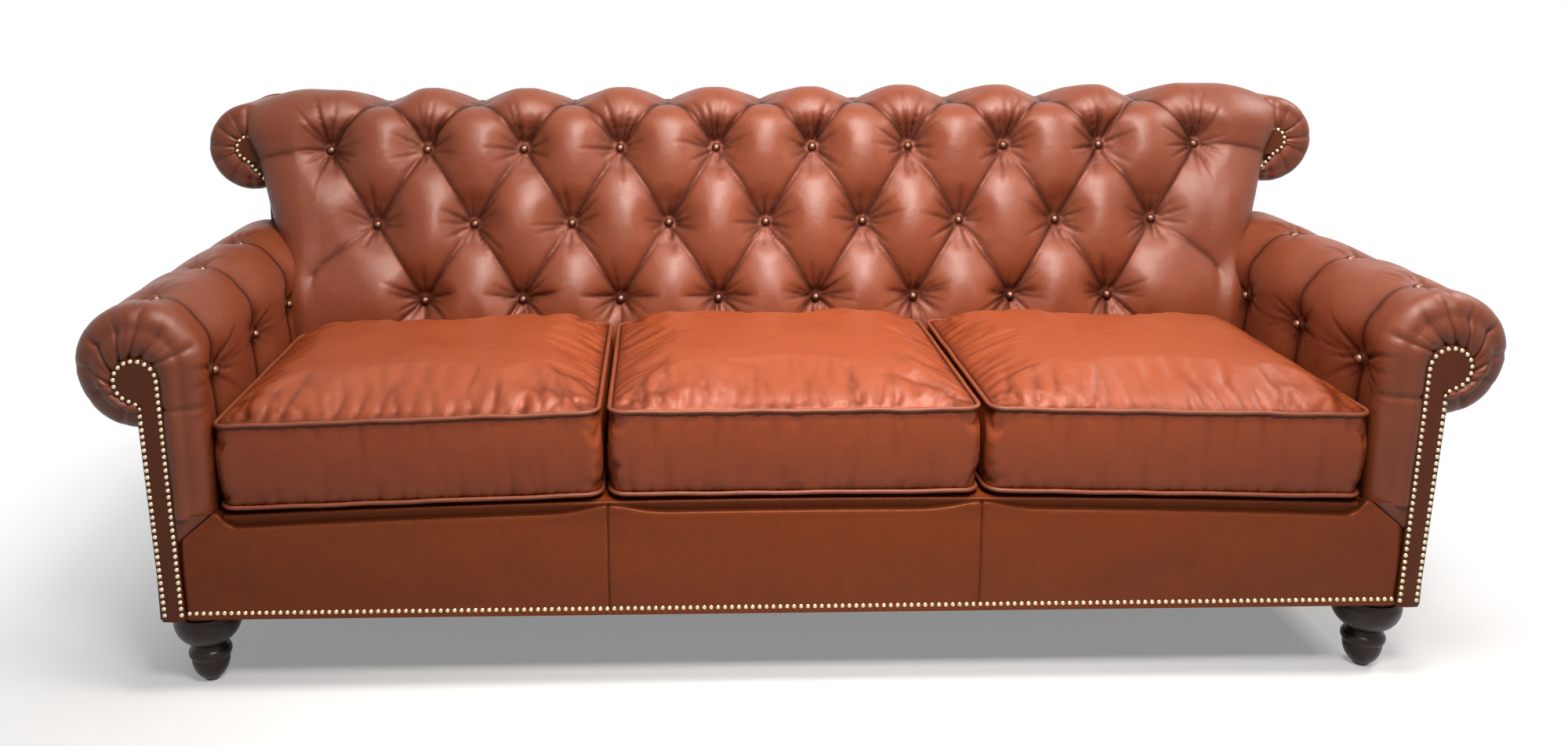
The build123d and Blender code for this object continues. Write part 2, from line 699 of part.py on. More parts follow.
def sleeve(x, z, radius, wall, low):
    """A roll's cover in section."""
    with BuildSketch() as section:
        with BuildLine():
            outer_seam = roll_outline(x, z, radius, low)
            inner_seam = roll_outline(x, z, radius - wall, low)
            Line(outer_seam, inner_seam)
            Line((x - radius, low), (x - radius + wall, low))
        make_face()
    return section.sketch


def keyhole(x, z, head, low, neck, grow):
    """A keyhole panel's outline: a round head on a tapering stem, grown by a margin.

    The stem's outer edge runs from its foot to the neck and from there to the head.
    """
    stem_in = arm_out - STEM_EDGE - STEM_LOW - grow
    neck_x, neck_z = neck
    with BuildSketch() as outline:
        with Locations((x, z)):
            Circle(head + grow)
        with BuildLine():
            Polyline(
                (x - head - grow, z),
                (stem_in, low - grow),
                (arm_out - STEM_EDGE + grow, low - grow),
                (neck_x + grow, neck_z),
                around(x, z, head + grow, HEAD_TURN),
                (x, z),
                close=True,
            )
        make_face()
    return outline.sketch


panel_low = FOOT_HEIGHT + CLEAR
arm_head_z = roll_z - ARM_HEAD_DROP
arm_neck = (arm_out + STEM_FLARE, arm_head_z - ARM_HEAD)
arm_keyhole = (roll_x, arm_head_z, ARM_HEAD, panel_low, arm_neck)
arm_seam_z = roll_z - sqrt(ARM_ROLL**2 - (arm_out - roll_x) ** 2)
scroll_seam_z = scroll_z - sqrt(SCROLL**2 - (arm_out - scroll_x) ** 2)
scroll_stem_low = roll_z + ARM_ROLL + CLEAR
scroll_neck = (arm_out - STEM_EDGE, scroll_seam_z)
scroll_keyhole = (scroll_x, scroll_z, SCROLL_HEAD, scroll_stem_low, scroll_neck)
mitre_x = arm_out - STEM_EDGE - STEM_LOW
mitre_z = ARM_LEG_LOW - MITRE_DROP
channel_y = [facing_y + ARM_CHANNEL_FIRST + i * ARM_CHANNEL_PITCH for i in range(ARM_CHANNELS)]

with BuildPart() as arm_cover:
    with BuildSketch(facing_plane(back_post_y)):
        add(sleeve(roll_x, roll_z, ARM_ROLL, ARM_SLEEVE, ARM_LEG_LOW))
    extrude(amount=back_post_y - post_y)
    with BuildSketch(facing_plane(post_y)):
        with BuildLine():
            cap_seam = roll_outline(roll_x, roll_z, ARM_ROLL, ARM_LEG_LOW)
            Polyline(
                cap_seam,
                (arm_out, FOOT_HEIGHT),
                (mitre_x, FOOT_HEIGHT),
                (mitre_x, mitre_z),
                (arm_in, ARM_LEG_LOW),
            )
        make_face()
    extrude(amount=FACING)
    with BuildSketch(facing_plane(post_y)):
        add(keyhole(*arm_keyhole, CLEAR))
        with Locations((arm_out, (FOOT_HEIGHT + cap_seam[1]) / 2)):
            Rectangle(STEM_LOW, cap_seam[1] - FOOT_HEIGHT)
    extrude(amount=FACING, mode=Mode.SUBTRACT)
    for y in channel_y:
        with BuildLine(facing_plane(y)) as channel_path:
            roll_outline(roll_x, roll_z, ARM_ROLL, ARM_LEG_LOW)
        with BuildSketch(Plane((arm_in, y, ARM_LEG_LOW), x_dir=(0, 1, 0), z_dir=(0, 0, 1))):
            add(cusp(ARM_CHANNEL_HALF, ARM_CHANNEL_DEPTH))
        sweep(path=channel_path.line, mode=Mode.SUBTRACT)
save_pair(arm_cover, "arm_cover")

# Arm buttons sit in the channels, one inside the arm and one on top of the roll
arm_button_z = roll_z - ARM_BUTTON_DROP
with BuildPart() as arm_buttons_right:
    for y in channel_y:
        inside = Plane((arm_in + ARM_BUTTON_SEAT, y, arm_button_z), z_dir=(-1, 0, 0))
        above = Plane((roll_x, y, roll_z + ARM_ROLL - ARM_BUTTON_SEAT), z_dir=(0, 0, 1))
        with Locations(inside.location, above.location):
            add(button)
with BuildPart() as arm_buttons:
    add(arm_buttons_right.part)
    mirror(arm_buttons_right.part, about=Plane.YZ)
save(arm_buttons, "arm_buttons")

with BuildPart() as arm_foam:
    with BuildSketch(facing_plane(back_post_y)):
        with Locations((roll_x, roll_z)):
            Circle(ARM_ROLL - ARM_SLEEVE - CLEAR)
        with Locations(((post_in + post_out) / 2, (ARM_LEG_LOW + roll_z) / 2)):
            Rectangle(post_out - post_in, roll_z - ARM_LEG_LOW)
        with Locations((roll_x, roll_z)):
            Circle(ARM_BAR + CLEAR, mode=Mode.SUBTRACT)
    extrude(amount=back_post_y - post_rear_y)
save_pair(arm_foam, "arm_foam")

with BuildPart() as arm_front_panel:
    with BuildSketch(facing_plane(post_y)):
        add(keyhole(*arm_keyhole, 0))
    extrude(amount=post_y - panel_y)
save_pair(arm_front_panel, "arm_front_panel")

# Back scrolls
with BuildPart() as back_scroll:
    with BuildSketch(facing_plane(rear_in_y)):
        add(sleeve(scroll_x, scroll_z, SCROLL, SCROLL_SLEEVE, scroll_z - CLEAR))
    extrude(amount=rear_in_y - back_post_y)
    with BuildSketch(facing_plane(back_post_y)):
        with BuildLine():
            scroll_seam = roll_outline(scroll_x, scroll_z, SCROLL, scroll_stem_low)
            Polyline(
                scroll_seam, (arm_out, scroll_stem_low), (scroll_in, scroll_stem_low)
            )
        make_face()
    extrude(amount=FACING)
    with BuildSketch(facing_plane(back_post_y)):
        add(keyhole(*scroll_keyhole, CLEAR))
        with Locations((arm_out, (scroll_stem_low + scroll_seam_z) / 2)):
            Rectangle(STEM_LOW, scroll_seam_z - scroll_stem_low)
    extrude(amount=FACING, mode=Mode.SUBTRACT)
save_pair(back_scroll, "back_scroll")

with BuildPart() as back_scroll_panel:
    with BuildSketch(facing_plane(back_post_y)):
        add(keyhole(*scroll_keyhole, 0))
    extrude(amount=back_post_y - scroll_panel_y)
save_pair(back_scroll_panel, "back_scroll_panel")

# Outside panels
with BuildPart() as arm_side_panel:
    with BuildSketch(Plane.YZ.offset(arm_out - SIDE_PANEL)):
        with BuildLine():
            Polyline(
                (post_y, FOOT_HEIGHT),
                (rear_in_y, FOOT_HEIGHT),
                (rear_in_y, scroll_seam_z),
                (back_post_y, scroll_seam_z),
                (back_post_y, arm_seam_z),
                (post_y, arm_seam_z),
                close=True,
            )
        make_face()
    extrude(amount=SIDE_PANEL)
save_pair(arm_side_panel, "arm_side_panel")

with BuildPart() as outside_back_panel:
    with BuildSketch(facing_plane(rear_y)):
        with Locations((0, (FOOT_HEIGHT + rear_top[1]) / 2)):
            Rectangle(2 * scroll_in, rear_top[1] - FOOT_HEIGHT)
        with Locations((0, (FOOT_HEIGHT + scroll_z) / 2)):
            Rectangle(2 * arm_out, scroll_z - FOOT_HEIGHT)
        with Locations((-scroll_x, scroll_z), (scroll_x, scroll_z)):
            Circle(SCROLL)
    extrude(amount=OUTSIDE_BACK)
save(outside_back_panel, "outside_back_panel")

# Front border in three panels, with mitred ends
border_seam = centre_half
border_top = deck_z(0) - BORDER_GAP
border_seam_top = deck_z(border_seam) - BORDER_GAP
with BuildPart() as front_border_centre:
    with BuildSketch(facing_plane(post_y)):
        with BuildLine():
            Polyline(
                (-border_seam, FOOT_HEIGHT),
                (border_seam, FOOT_HEIGHT),
                (border_seam, border_seam_top),
                (0, border_top),
                (-border_seam, border_seam_top),
                close=True,
            )
        make_face()
    extrude(amount=post_y - border_y)
save(front_border_centre, "front_border_centre")

border_end_top = min(deck_z(arm_in) - BORDER_GAP, ARM_LEG_LOW - CLEAR)
with BuildPart() as front_border:
    with BuildSketch(facing_plane(post_y)):
        with BuildLine():
            Polyline(
                (border_seam, FOOT_HEIGHT),
                (mitre_x - CLEAR, FOOT_HEIGHT),
                (mitre_x - CLEAR, mitre_z - CLEAR),
                (arm_in, border_end_top),
                (border_seam, border_seam_top),
                close=True,
            )
        make_face()
    extrude(amount=post_y - border_y)
save_pair(front_border, "front_border")

# Trim nails round the keyhole panels and along the bottom of the front
nail = domed(NAIL, NAIL_RISE, NAIL_SHANK, NAIL_LENGTH)


def keyhole_line(x, z, head, low, neck):
    """The nail line inside a keyhole panel's edge: up the stem, round the head and down."""
    inset = head - NAIL_EDGE
    foot_in = arm_out - STEM_EDGE - STEM_LOW + NAIL_EDGE
    foot_out = arm_out - STEM_EDGE - NAIL_EDGE
    head_end = around(x, z, inset, HEAD_TURN)
    with BuildLine() as line:
        Line((foot_in, low), (x - inset, z))
        ThreePointArc((x - inset, z), around(x, z, inset, 90), (x + inset, z))
        ThreePointArc((x + inset, z), around(x, z, inset, HEAD_TURN / 2), head_end)
        Polyline(head_end, (neck[0] - NAIL_EDGE, neck[1]), (foot_out, low))
    return line.wire()


def spaced(wire):
    """Points along a line, one nail pitch apart."""
    count = round(wire.length / NAIL_PITCH)
    return [wire.position_at(i / count) for i in range(count + 1)]


nail_low = FOOT_HEIGHT + BASE_NAIL_UP
arm_line = keyhole_line(roll_x, arm_head_z, ARM_HEAD, nail_low, arm_neck)
scroll_line = keyhole_line(
    scroll_x, scroll_z, SCROLL_HEAD, scroll_stem_low + NAIL_EDGE, scroll_neck
)


def nail_spots(points, y):
    """Places on a front-facing surface."""
    return [Plane((p[0], y, p[1]), z_dir=(0, -1, 0)).location for p in points]


base_half = mitre_x - NAIL_EDGE
base_count = round(2 * base_half / NAIL_PITCH)
base_step = 2 * base_half / base_count
with BuildPart() as base_nails:
    with Locations(
        *nail_spots([(i * base_step - base_half, nail_low) for i in range(base_count + 1)], border_y)
    ):
        add(nail)
save(base_nails, "base_nails")

side_places = nail_spots([(p.X, p.Y) for p in spaced(arm_line)], panel_y)
side_places += nail_spots([(p.X, p.Y) for p in spaced(scroll_line)], scroll_panel_y)
with BuildPart() as side_nails:
    with Locations(*side_places):
        add(nail)
save_pair(side_nails, "side_nails")

# Dust cover and feet
with BuildPart() as dust_cover:
    with BuildSketch(Plane.XY.offset(FOOT_HEIGHT)):
        with Locations((0, (post_y + rear_in_y) / 2)):
            Rectangle(2 * post_out, rear_in_y - post_y)
        with Locations(*FOOT_PLACES.values()):
            Circle(BOLT + BOLT_CLEAR, mode=Mode.SUBTRACT)
    extrude(amount=DUST_COVER)
save(dust_cover, "dust_cover")

bowl_low = FOOT_HEIGHT - FOOT_BOWL_HEIGHT
bead_z = bowl_low - FOOT_BEAD_DOWN
collar = FOOT_BOWL - 2 * FOOT_LIP
for name, (x, y) in FOOT_PLACES.items():
    with BuildPart() as foot:
        with BuildSketch(Plane.XZ):
            with BuildLine():
                toe = ThreePointArc(
                    (FOOT_TOE, GLIDE_HEIGHT),
                    ((FOOT_TOE + FOOT_BEAD) / 2 + FOOT_LIP, bead_z / 2),
                    (FOOT_BEAD - FOOT_LIP, bead_z - FOOT_BEAD_HALF),
                )
                bead = ThreePointArc(
                    toe @ 1, (FOOT_BEAD, bead_z), (FOOT_NECK + FOOT_LIP, bead_z + FOOT_BEAD_HALF)
                )
                neck = Polyline(
                    bead @ 1, (FOOT_NECK, bowl_low), (FOOT_NECK + FOOT_LIP, bowl_low + FOOT_LIP)
                )
                bowl = ThreePointArc(
                    neck @ 1,
                    (collar, bowl_low + FOOT_RIM - FOOT_LIP),
                    (FOOT_BOWL, FOOT_HEIGHT - FOOT_RIM),
                )
                Polyline(
                    bowl @ 1,
                    (FOOT_BOWL - FOOT_LIP, FOOT_HEIGHT - FOOT_COLLAR),
                    (collar, FOOT_HEIGHT - FOOT_COLLAR),
                    (collar, FOOT_HEIGHT),
                    (0, FOOT_HEIGHT),
                    (0, GLIDE_HEIGHT),
                    toe @ 0,
                )
            make_face()
        revolve(axis=Axis.Z)
        with BuildSketch(Plane.XY.offset(FOOT_HEIGHT)):
            Circle(BOLT + BOLT_CLEAR)
        extrude(amount=-BOLT_IN_FOOT, mode=Mode.SUBTRACT)
    with BuildPart() as placed_foot:
        with Locations((x, y, 0)):
            add(foot.part)
    save(placed_foot, f"foot_{name}")

with BuildPart() as foot_bolts:
    with BuildSketch(Plane.XY.offset(FOOT_HEIGHT - BOLT_IN_FOOT)):
        with Locations(*FOOT_PLACES.values()):
            Circle(BOLT)
    extrude(amount=BOLT_IN_FOOT + DUST_COVER + BOLT_IN_BLOCK)
save(foot_bolts, "foot_bolts")

with BuildPart() as foot_glides:
    with BuildSketch(Plane.XY):
        with Locations(*FOOT_PLACES.values()):
            Circle(GLIDE)
    extrude(amount=GLIDE_HEIGHT)
save(foot_glides, "foot_glides")
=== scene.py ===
import json
import logging
from dataclasses import dataclass, field
from enum import Enum
from math import cos, pi, radians, sin, sqrt
from typing import Optional, Sequence, Union

import bpy
import numpy as np
from mathutils import Matrix, Vector


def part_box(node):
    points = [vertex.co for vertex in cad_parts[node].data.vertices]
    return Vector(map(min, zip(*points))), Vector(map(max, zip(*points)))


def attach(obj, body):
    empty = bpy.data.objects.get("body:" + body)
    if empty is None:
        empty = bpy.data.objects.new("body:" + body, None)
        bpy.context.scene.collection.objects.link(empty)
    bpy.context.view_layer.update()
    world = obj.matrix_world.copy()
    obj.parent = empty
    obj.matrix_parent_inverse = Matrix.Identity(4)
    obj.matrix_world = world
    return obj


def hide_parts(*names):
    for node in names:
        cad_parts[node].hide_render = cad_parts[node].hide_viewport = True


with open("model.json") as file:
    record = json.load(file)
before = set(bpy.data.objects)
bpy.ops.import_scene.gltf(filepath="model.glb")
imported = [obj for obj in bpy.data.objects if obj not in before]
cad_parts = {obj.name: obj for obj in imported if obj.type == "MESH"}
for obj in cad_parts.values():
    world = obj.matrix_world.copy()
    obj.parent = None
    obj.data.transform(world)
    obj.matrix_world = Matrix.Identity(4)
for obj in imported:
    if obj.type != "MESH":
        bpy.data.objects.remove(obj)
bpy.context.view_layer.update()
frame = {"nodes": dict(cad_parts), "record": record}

LOG = logging.getLogger("sofa")
MM = 0.001
CHASSIS = "frame"  # the body that the whole sofa but its loose cushions rides on

Colour = tuple[float, float, float, float]
Socket = bpy.types.NodeSocket
Place = Sequence[float]


class Side(Enum):
    """The two mirrored halves of the sofa, as signs of X."""

    LEFT = -1
    RIGHT = 1

    @property
    def tag(self) -> str:
        """The half's name as the nodes spell it."""
        return self.name.lower()


class Seat(Enum):
    """The three loose cushions."""

    LEFT = "left"
    CENTRE = "centre"
    RIGHT = "right"


# Shader wiring


class Wiring:
    """Adds and joins nodes in one node tree."""

    def __init__(self, tree: bpy.types.NodeTree) -> None:
        """Take the tree to work in."""
        self.tree = tree

    def add(self, kind: str, **settings: object) -> bpy.types.Node:
        """Add a node.

        Args:
            kind: The node's type.
            settings: Attributes to set on it.

        Returns:
            The new node.
        """
        node = self.tree.nodes.new(kind)
        for name, value in settings.items():
            setattr(node, name, value)
        return node

    def feed(self, node: bpy.types.Node, key: Union[int, str], value: object) -> None:
        """Link a socket to a node's input, or set the input to a plain value.

        Args:
            node: The node to feed.
            key: The input's number or name.
            value: A socket to link, or a plain value.
        """
        target = node.inputs[key]
        if isinstance(value, Socket):
            self.tree.links.new(value, target)
        else:
            target.default_value = value

    def math(self, operation: str, a: object, b: object = 0.0, clamp: bool = False) -> Socket:
        """Do one step of arithmetic on values.

        Args:
            operation: The step, as Blender names it.
            a: First value or socket.
            b: Second value or socket.
            clamp: Whether the result is held between 0 and 1.

        Returns:
            The result.
        """
        node = self.add("ShaderNodeMath", operation=operation, use_clamp=clamp)
        self.feed(node, 0, a)
        self.feed(node, 1, b)
        return node.outputs[0]

    def mix(self, share: object, a: object, b: object) -> Socket:
        """Blend two colours.

        Args:
            share: How much of the second colour shows.
            a: First colour.
            b: Second colour.

        Returns:
            The blended colour.
        """
        node = self.add("ShaderNodeMix", data_type="RGBA")
        self.feed(node, 0, share)
        self.feed(node, 6, a)
        self.feed(node, 7, b)
        return node.outputs[2]

    def noise(self, vector: object, scale: object, detail: float = 2.0) -> Socket:
        """Lay soft noise over the surface.

        Args:
            vector: The coordinates that it follows.
            scale: How fine it is.
            detail: How many finer layers it has.

        Returns:
            Values from 0 to 1.
        """
        node = self.add("ShaderNodeTexNoise")
        self.feed(node, "Vector", vector)
        self.feed(node, "Scale", scale)
        self.feed(node, "Detail", detail)
        return node.outputs[0]

    def span(self, value: object, low: float, high: float, start: float, end: float) -> Socket:
        """Map a range of values to another range, held at its ends.

        Args:
            value: The value to map.
            low: Start of its range.
            high: End of its range.
            start: What low becomes.
            end: What high becomes.

        Returns:
            The mapped value.
        """
        node = self.add("ShaderNodeMapRange")
        for key, number in enumerate((value, low, high, start, end)):
            self.feed(node, key, number)
        return node.outputs[0]

    def seen(self) -> Socket:
        """Tell the rays that show the backdrop to the camera, directly or in a reflection or glass.

        Returns:
            1 for such a ray and 0 for the rest.
        """
        path = self.add("ShaderNodeLightPath").outputs
        mirrored = self.math("MAXIMUM", path["Is Glossy Ray"], path["Is Transmission Ray"])
        return self.math("MAXIMUM", path["Is Camera Ray"], mirrored)

    def stretch(self, vector: object, scale: Place) -> Socket:
        """Scale a vector along its axes.

        Args:
            vector: The vector.
            scale: The factor for each axis.

        Returns:
            The scaled vector.
        """
        node = self.add("ShaderNodeMapping")
        self.feed(node, "Vector", vector)
        self.feed(node, "Scale", scale)
        return node.outputs[0]


class EffectGroup:
    """A shader node group that several finishes share, built once."""

    SOCKETS = {"v": "NodeSocketVector", "f": "NodeSocketFloat", "c": "NodeSocketColor"}

    def __init__(self, name: str, inputs: dict[str, str], outputs: dict[str, str]) -> None:
        """Make an empty group.

        Args:
            name: The group's name.
            inputs: Socket names with v, f or c for vector, value or colour.
            outputs: The same for what the group gives.
        """
        self.tree = bpy.data.node_groups.new(name, "ShaderNodeTree")
        for socket, kind in inputs.items():
            self.tree.interface.new_socket(socket, in_out="INPUT", socket_type=self.SOCKETS[kind])
        for socket, kind in outputs.items():
            self.tree.interface.new_socket(socket, in_out="OUTPUT", socket_type=self.SOCKETS[kind])
        self.wires = Wiring(self.tree)
        self.source = self.wires.add("NodeGroupInput").outputs
        self.result = self.wires.add("NodeGroupOutput")

    def give(self, name: str, value: object) -> None:
        """Join a value to one of the group's outputs."""
        self.wires.feed(self.result, name, value)

    def place(self, wires: Wiring, **values: object) -> bpy.types.Node:
        """Put the group in a material with its own values.

        Args:
            wires: The material's wiring.
            values: One value or socket for each input.

        Returns:
            The group's node.
        """
        node = wires.add("ShaderNodeGroup", node_tree=self.tree)
        for name, value in values.items():
            wires.feed(node, name, value)
        return node


def hide_grain() -> EffectGroup:
    """The pebbled grain of a hide: cells between fine furrows, with pores and loose wrinkles.

    Returns:
        A group that gives Height and Furrow.
    """
    group = EffectGroup("hide_grain", {"Vector": "v", "Pebble": "f"}, {"Height": "f", "Furrow": "f"})
    w, get = group.wires, group.source
    wander = w.add("ShaderNodeTexNoise")
    w.feed(wander, "Vector", get["Vector"])
    w.feed(wander, "Scale", 260.0)
    bent = w.add("ShaderNodeMix", data_type="VECTOR")
    w.feed(bent, 0, 0.0022)
    w.feed(bent, 4, get["Vector"])
    w.feed(bent, 5, wander.outputs["Color"])
    cells = w.add("ShaderNodeTexVoronoi", feature="DISTANCE_TO_EDGE")
    w.feed(cells, "Vector", bent.outputs[1])
    w.feed(cells, "Scale", get["Pebble"])
    furrow = w.span(cells.outputs[0], 0.0, 0.16, 1.0, 0.0)
    fine = w.noise(get["Vector"], 1400.0, 3.0)
    loose = w.noise(get["Vector"], 90.0, 3.0)
    rise = w.math("SUBTRACT", w.math("MULTIPLY", fine, 0.35), w.math("MULTIPLY", furrow, 0.6))
    slack = w.noise(get["Vector"], 26.0, 3.0)
    rise = w.math("ADD", rise, w.math("MULTIPLY", loose, 2.6))
    group.give("Height", w.math("ADD", rise, w.math("MULTIPLY", slack, 9.0)))
    group.give("Furrow", furrow)
    return group


def hide_patina() -> EffectGroup:
    """Colour of a worn hide: cloudy dye and rubbed crests, with painted shade in the creases.

    Returns:
        A group that gives Color, Roughness and Metallic; the last dims the reflection in a crease as painted
        shade.
    """
    group = EffectGroup(
        "hide_patina",
        {
            "Vector": "v",
            "Dye": "c",
            "Deep": "c",
            "Rubbed": "c",
            "Crease": "f",
            "Furrow": "f",
            "Gloss": "f",
        },
        {"Color": "c", "Roughness": "f", "Metallic": "f"},
    )
    w, get = group.wires, group.source
    cloud = w.noise(get["Vector"], 5.5, 4.0)
    mottle = w.noise(get["Vector"], 38.0, 3.0)
    crest = w.math("SUBTRACT", 1.0, get["Crease"], clamp=True)
    rub = w.math("MULTIPLY", w.span(cloud, 0.30, 0.75, 0.15, 0.42), w.math("POWER", crest, 3.0))
    tone = w.mix(rub, get["Dye"], get["Rubbed"])
    tone = w.mix(w.span(mottle, 0.40, 0.80, 0.0, 0.14), tone, get["Deep"])
    tone = w.mix(w.math("MULTIPLY", get["Furrow"], 0.16), tone, get["Deep"])
    # Painted shade: the crease value darkens the colour towards the dark tone
    tone = w.mix(w.math("MULTIPLY", get["Crease"], 0.9, clamp=True), tone, get["Deep"])
    matt = w.math("ADD", w.math("MULTIPLY", mottle, 0.10), w.math("MULTIPLY", get["Crease"], 0.06))
    group.give("Color", tone)
    group.give("Roughness", w.math("ADD", get["Gloss"], matt, clamp=True))
    # Painted shade: metallic with the dark crease colour takes the reflection out of a crease
    group.give("Metallic", w.math("MULTIPLY", get["Crease"], 0.85, clamp=True))
    return group


def timber_grain() -> EffectGroup:
    """Long timber grain with growth bands and open pores.

    Returns:
        A group that gives Color, Roughness and Height.
    """
    group = EffectGroup(
        "timber_grain",
        {"Vector": "v", "Light": "c", "Dark": "c", "Gloss": "f"},
        {"Color": "c", "Roughness": "f", "Height": "f"},
    )
    w, get = group.wires, group.source
    drawn = w.stretch(get["Vector"], (60.0, 60.0, 9.0))
    bands = w.noise(drawn, 1.0, 4.0)
    pores = w.noise(w.stretch(get["Vector"], (700.0, 700.0, 60.0)), 1.0, 2.0)
    share = w.math("ADD", w.span(bands, 0.35, 0.65, 0.0, 0.8), w.span(pores, 0.55, 0.75, 0.0, 0.3))
    group.give("Color", w.mix(share, get["Light"], get["Dark"]))
    group.give("Roughness", w.math("ADD", get["Gloss"], w.math("MULTIPLY", pores, 0.12)))
    group.give("Height", w.math("SUBTRACT", w.math("MULTIPLY", bands, 0.4), pores))
    return group


def metal_tarnish() -> EffectGroup:
    """Aged metal: bright or brown in random patches, finely pitted.

    Returns:
        A group that gives Color, Roughness and Height.
    """
    group = EffectGroup(
        "metal_tarnish",
        {"Vector": "v", "Bright": "c", "Tarnish": "c", "Age": "f", "Gloss": "f"},
        {"Color": "c", "Roughness": "f", "Height": "f"},
    )
    w, get = group.wires, group.source
    patch = w.noise(get["Vector"], 120.0, 3.0)
    pits = w.noise(get["Vector"], 1800.0, 2.0)
    share = w.math("MULTIPLY", w.span(patch, 0.35, 0.7, 0.2, 1.0), get["Age"], clamp=True)
    group.give("Color", w.mix(share, get["Bright"], get["Tarnish"]))
    group.give("Roughness", w.math("ADD", get["Gloss"], w.math("MULTIPLY", share, 0.25)))
    group.give("Height", pits)
    return group


def plain_weave() -> EffectGroup:
    """Over-and-under threads with uneven yarn.

    Returns:
        A group that gives Color and Height.
    """
    group = EffectGroup(
        "plain_weave",
        {"Vector": "v", "Threads": "f", "Light": "c", "Dark": "c"},
        {"Color": "c", "Height": "f"},
    )
    w, get = group.wires, group.source
    waves = []
    for direction in ("X", "Y"):
        wave = w.add("ShaderNodeTexWave", bands_direction=direction)
        w.feed(wave, "Vector", get["Vector"])
        w.feed(wave, "Scale", get["Threads"])
        w.feed(wave, "Distortion", 0.6)
        waves.append(wave.outputs["Fac"])
    rise = w.math("MAXIMUM", waves[0], waves[1])
    slub = w.noise(get["Vector"], 45.0, 3.0)
    share = w.math("MULTIPLY", rise, w.span(slub, 0.3, 0.7, 0.5, 1.0), clamp=True)
    group.give("Color", w.mix(share, get["Dark"], get["Light"]))
    group.give("Height", rise)
    return group


# Finishes


class Effects:
    """The shared effects of the finishes, each built when the scene starts."""

    def __init__(self) -> None:
        """Build every shared group."""
        self.grain = hide_grain()
        self.patina = hide_patina()
        self.timber = timber_grain()
        self.tarnish = metal_tarnish()
        self.weave = plain_weave()


EFFECTS = Effects()


def fresh_material(name: str) -> tuple[bpy.types.Material, Wiring, bpy.types.Node, Socket]:
    """Start a material.

    Args:
        name: The material's name.

    Returns:
        The material, its wiring, its shader and its surface coordinates.
    """
    material = bpy.data.materials.new(name)
    material.use_nodes = True
    wires = Wiring(material.node_tree)
    shader = material.node_tree.nodes["Principled BSDF"]
    where = wires.add("ShaderNodeTexCoord").outputs["Object"]
    return material, wires, shader, where


def bump(wires: Wiring, shader: bpy.types.Node, height: Socket, strength: float, reach: float) -> None:
    """Raise a surface by a height.

    Args:
        wires: The material's wiring.
        shader: The shader that gets the normal.
        height: The height, from 0 to 1.
        strength: Share of the effect.
        reach: How high 1 stands, in metres.
    """
    node = wires.add("ShaderNodeBump")
    wires.feed(node, "Strength", strength)
    wires.feed(node, "Distance", reach)
    wires.feed(node, "Height", height)
    wires.feed(shader, "Normal", node.outputs[0])


@dataclass(frozen=True)
class LeatherFinish:
    """A waxed, drum-dyed hide."""

    name: str
    dye: Colour
    # deep is the dark tone of the mottling and grain furrows, and also the painted shade that creases take
    deep: Colour
    rubbed: Colour
    gloss: float = 0.30
    shine: float = 0.20
    pebble: float = 620.0
    relief: float = 0.00022

    def material(self) -> bpy.types.Material:
        """Build the finish's material.

        Returns:
            The material.
        """
        made, wires, shader, where = fresh_material(self.name)
        # The crease attribute holds painted shade for creases, pits and seams
        crease = wires.add("ShaderNodeAttribute", attribute_name="crease").outputs["Fac"]
        grain = EFFECTS.grain.place(wires, Vector=where, Pebble=self.pebble)
        patina = EFFECTS.patina.place(
            wires,
            Vector=where,
            Dye=self.dye,
            Deep=self.deep,
            Rubbed=self.rubbed,
            Crease=crease,
            Furrow=grain.outputs["Furrow"],
            Gloss=self.gloss,
        )
        wires.feed(shader, "Base Color", patina.outputs["Color"])
        wires.feed(shader, "Roughness", patina.outputs["Roughness"])
        wires.feed(shader, "Metallic", patina.outputs["Metallic"])
        wires.feed(shader, "Specular IOR Level", self.shine)
        bump(wires, shader, grain.outputs["Height"], 0.55, self.relief)
        return made


@dataclass(frozen=True)
class TimberFinish:
    """Stained or bare timber."""

    name: str
    light: Colour
    dark: Colour
    gloss: float
    lacquer: float
    shine: float = 0.5

    def material(self) -> bpy.types.Material:
        """Build the finish's material.

        Returns:
            The material.
        """
        made, wires, shader, where = fresh_material(self.name)
        grain = EFFECTS.timber.place(
            wires, Vector=where, Light=self.light, Dark=self.dark, Gloss=self.gloss
        )
        wires.feed(shader, "Base Color", grain.outputs["Color"])
        wires.feed(shader, "Roughness", grain.outputs["Roughness"])
        wires.feed(shader, "Specular IOR Level", self.shine)
        wires.feed(shader, "Coat Weight", self.lacquer)
        wires.feed(shader, "Coat Roughness", 0.18)
        bump(wires, shader, grain.outputs["Height"], 0.3, 0.0002)
        return made


@dataclass(frozen=True)
class MetalFinish:
    """Plated or solid metal, more or less tarnished."""

    name: str
    bright: Colour
    tarnish: Colour
    age: float
    gloss: float

    def material(self) -> bpy.types.Material:
        """Build the finish's material.

        Returns:
            The material.
        """
        made, wires, shader, where = fresh_material(self.name)
        skin = EFFECTS.tarnish.place(
            wires,
            Vector=where,
            Bright=self.bright,
            Tarnish=self.tarnish,
            Age=self.age,
            Gloss=self.gloss,
        )
        wires.feed(shader, "Base Color", skin.outputs["Color"])
        wires.feed(shader, "Roughness", skin.outputs["Roughness"])
        wires.feed(shader, "Metallic", 1.0)
        bump(wires, shader, skin.outputs["Height"], 0.25, 0.0001)
        return made


